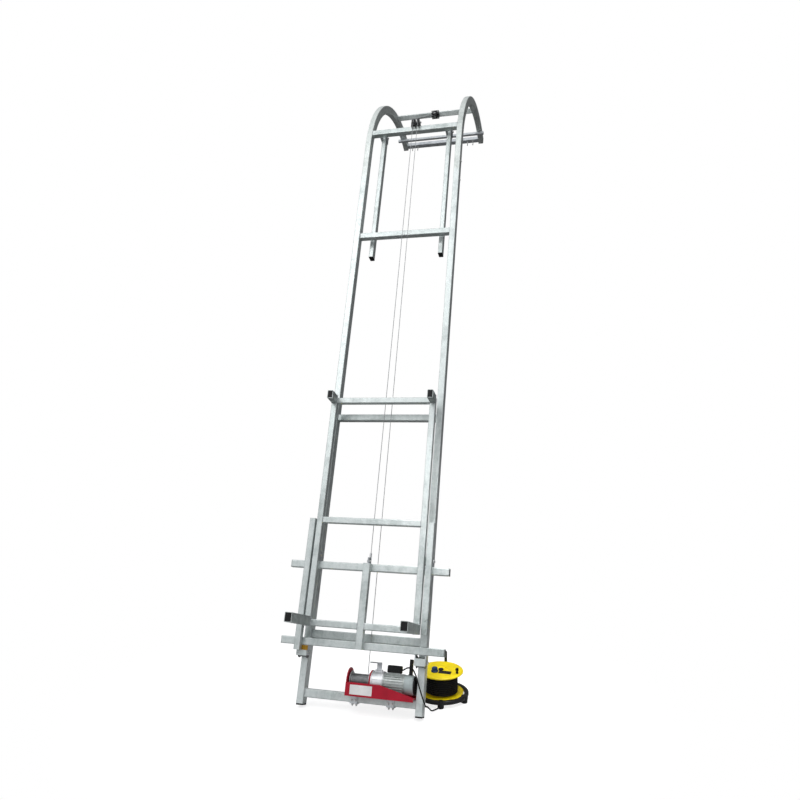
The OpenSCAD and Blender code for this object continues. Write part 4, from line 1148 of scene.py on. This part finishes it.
# Supply cable: a free rubber cable from the capacitor box, behind the post, over the fan cover and down to
# the ground, where it runs to the foot of the reel stand. Its length is the run that the photo shows and the
# shortest way on from there.
lead_d = 8 * MM
lead_up = 18 * MM
lead_step = 4 * MM
curve_steps = 8
lead_start = Vector((box_high.x, (box_low.y + box_high.y) / 2, box_low.z + lead_up))
by_winch = [(0, 0, 0), (8, 0, 0), (20, -2, 8), (40, -12, 14), (64, -26, 8), (88, -38, -26), (110, -46, -76),
            (131, -46, -126), (147, -38, -162)]
by_reel = [(-18, -290, 66), (-15, -250, 40), (-10, -212, 14), (5.57, -177.31, 8), (16.47, -155.92, 8)]
knots = [leaning @ (lead_start + Vector(spot) * MM) for spot in by_winch]
knots += [stand_place @ (Vector(spot) * MM) for spot in by_reel]
lead = []
for k in range(len(knots) - 1):
    start, end = knots[k], knots[k + 1]
    before, after = knots[max(k - 1, 0)], knots[min(k + 2, len(knots) - 1)]
    bow = 2 * before - 5 * start + 4 * end - after
    swing = 3 * start - before - 3 * end + after
    for share in (step / curve_steps for step in range(curve_steps)):
        lead.append((2 * start + (end - before) * share + bow * share ** 2 + swing * share ** 3) / 2)
lead.append(knots[-1])
lead_cable = cable(lead, lead_d, "supply_cable", "_lead", lead_step)

# Pieces inside: the splice plugs and the motor's rotor keep their CAD form, in the finish of their metal.
# Two bolts hold each plug, one through the rail and one through the hook.
splice_shares = (0.18, 0.82)
for inside in ("rail_splices", "motor_rotor"):
    frame["nodes"][inside].data.materials.clear()
    frame["nodes"][inside].data.materials.append(axle_zinc)
splice_bolts = []
for low, high in solids_of("rail_splices"):
    side = math.copysign(1, low.x)
    face = max(abs(low.x), abs(high.x)) + tube_wall
    for share in splice_shares:
        spot = Vector((side * face, (low.y + high.y) / 2, low.z + share * (high.z - low.z)))
        splice_bolts.append((spot, Vector((side, 0, 0))))
bolts("splice_bolts", splice_bolts, "rail_splices")

# Stage: a pale floor that fades into a white ground, soft light from the front left and the photo's camera.
# Only the camera sees the white; the light on the object comes from a sky that is bright in front and dark
# behind, a wide key lamp, and two small lamps over the reel and before the head.
floor_grey = (0.50, 0.50, 0.50, 1)
floor_glow = 0.75
floor_half = 4.0
fade_start = 0.7
fade_end = 1.7
fade_back = 0.3
sky_tint = (0.97, 0.98, 1.0, 1)
sky_start = 0.1
sky_dark = 0.12
sky_bright = 1.12
bright_way = Vector((-0.25, -0.38, 0.89)).normalized()
lens_mm = 30.86
camera_turn = math.radians(14.29)
foot_front = leaning @ Vector((0, rail_low.y, rail_low.z))
camera_spot = (1.112, foot_front.y - 3.455, ground_z + 1.597)
horizon_drop = 0.016
lamps = (("key", (-2.2, -4.6, 1.2), (0, -0.9, -1.0), 3.0, 180, 46),
         ("top", (0.6, -2.0, -2.4), (0.45, -1.75, -4.0), 0.8, 60, 2.2),
         ("head", (-0.7, -2.9, 0.8), (0, -0.2, -0.3), 1.4, 80, 4))

floor_data = bpy.data.meshes.new("floor")
floor_data.from_pydata([(x * floor_half, foot_front.y + y * floor_half, ground_z) for x, y in
                        ((-1, -1), (1, -1), (1, 1), (-1, 1))], [], [(0, 1, 2, 3)])
floor = placed("floor", floor_data)
floor_finish = bpy.data.materials.new("pale_floor")
floor_finish.use_nodes = True
tree = floor_finish.node_tree
tree.nodes.clear()
camera_ray = node(tree, "ShaderNodeLightPath").outputs["Is Camera Ray"]
place = node(tree, "ShaderNodeTexCoord").outputs["Object"]
away = node(tree, "ShaderNodeVectorMath", {0: place, 1: (0, foot_front.y + fade_back, ground_z)},
            operation="DISTANCE")
fade = ranged(tree, away.outputs["Value"], fade_start, fade_end, interpolation_type="SMOOTHSTEP")
glow = reckoned(tree, "MULTIPLY", camera_ray, floor_glow)
matt = node(tree, "ShaderNodeBsdfDiffuse", {"Color": floor_grey}).outputs["BSDF"]
glowing = node(tree, "ShaderNodeEmission", {"Strength": glow}).outputs["Emission"]
lit = node(tree, "ShaderNodeAddShader", {0: matt, 1: glowing}).outputs["Shader"]
clear = node(tree, "ShaderNodeBsdfTransparent").outputs["BSDF"]
faded = node(tree, "ShaderNodeMixShader", {0: fade, 1: lit, 2: clear}).outputs["Shader"]
node(tree, "ShaderNodeOutputMaterial", {"Surface": faded})
floor_data.materials.append(floor_finish)

world = bpy.data.worlds.new("studio")
bpy.context.scene.world = world
world.use_nodes = True
sky = world.node_tree
sky_way = node(sky, "ShaderNodeTexCoord").outputs["Generated"]
nearness = node(sky, "ShaderNodeVectorMath", {0: sky_way, 1: bright_way}, operation="DOT_PRODUCT")
level = ranged(sky, nearness.outputs["Value"], sky_start, 1.0, sky_dark, sky_bright)
light = node(sky, "ShaderNodeBackground", {"Color": sky_tint, "Strength": level}).outputs["Background"]
white = node(sky, "ShaderNodeBackground", {"Color": (1, 1, 1, 1), "Strength": 1.0}).outputs["Background"]
camera_ray = node(sky, "ShaderNodeLightPath").outputs["Is Camera Ray"]
shown = node(sky, "ShaderNodeMixShader", {0: camera_ray, 1: light, 2: white}).outputs["Shader"]
sky.links.new(shown, sky.nodes["World Output"].inputs["Surface"])

for name, spot, aim, size, spread, power in lamps:
    lamp = bpy.data.lights.new(name, "AREA")
    lamp.energy = power
    lamp.size = size
    lamp.spread = math.radians(spread)
    lamp_object = placed(name, lamp)
    lamp_object.location = spot
    lamp_object.rotation_euler = (Vector(aim) - Vector(spot)).to_track_quat("-Z", "Y").to_euler()

camera = bpy.data.cameras.new("camera")
camera.lens = lens_mm
camera.shift_y = horizon_drop
camera_object = placed("camera", camera)
camera_object.location = camera_spot
camera_object.rotation_euler = (math.radians(90), 0, camera_turn)
bpy.context.scene.camera = camera_object
bpy.context.scene.view_settings.view_transform = "Standard"
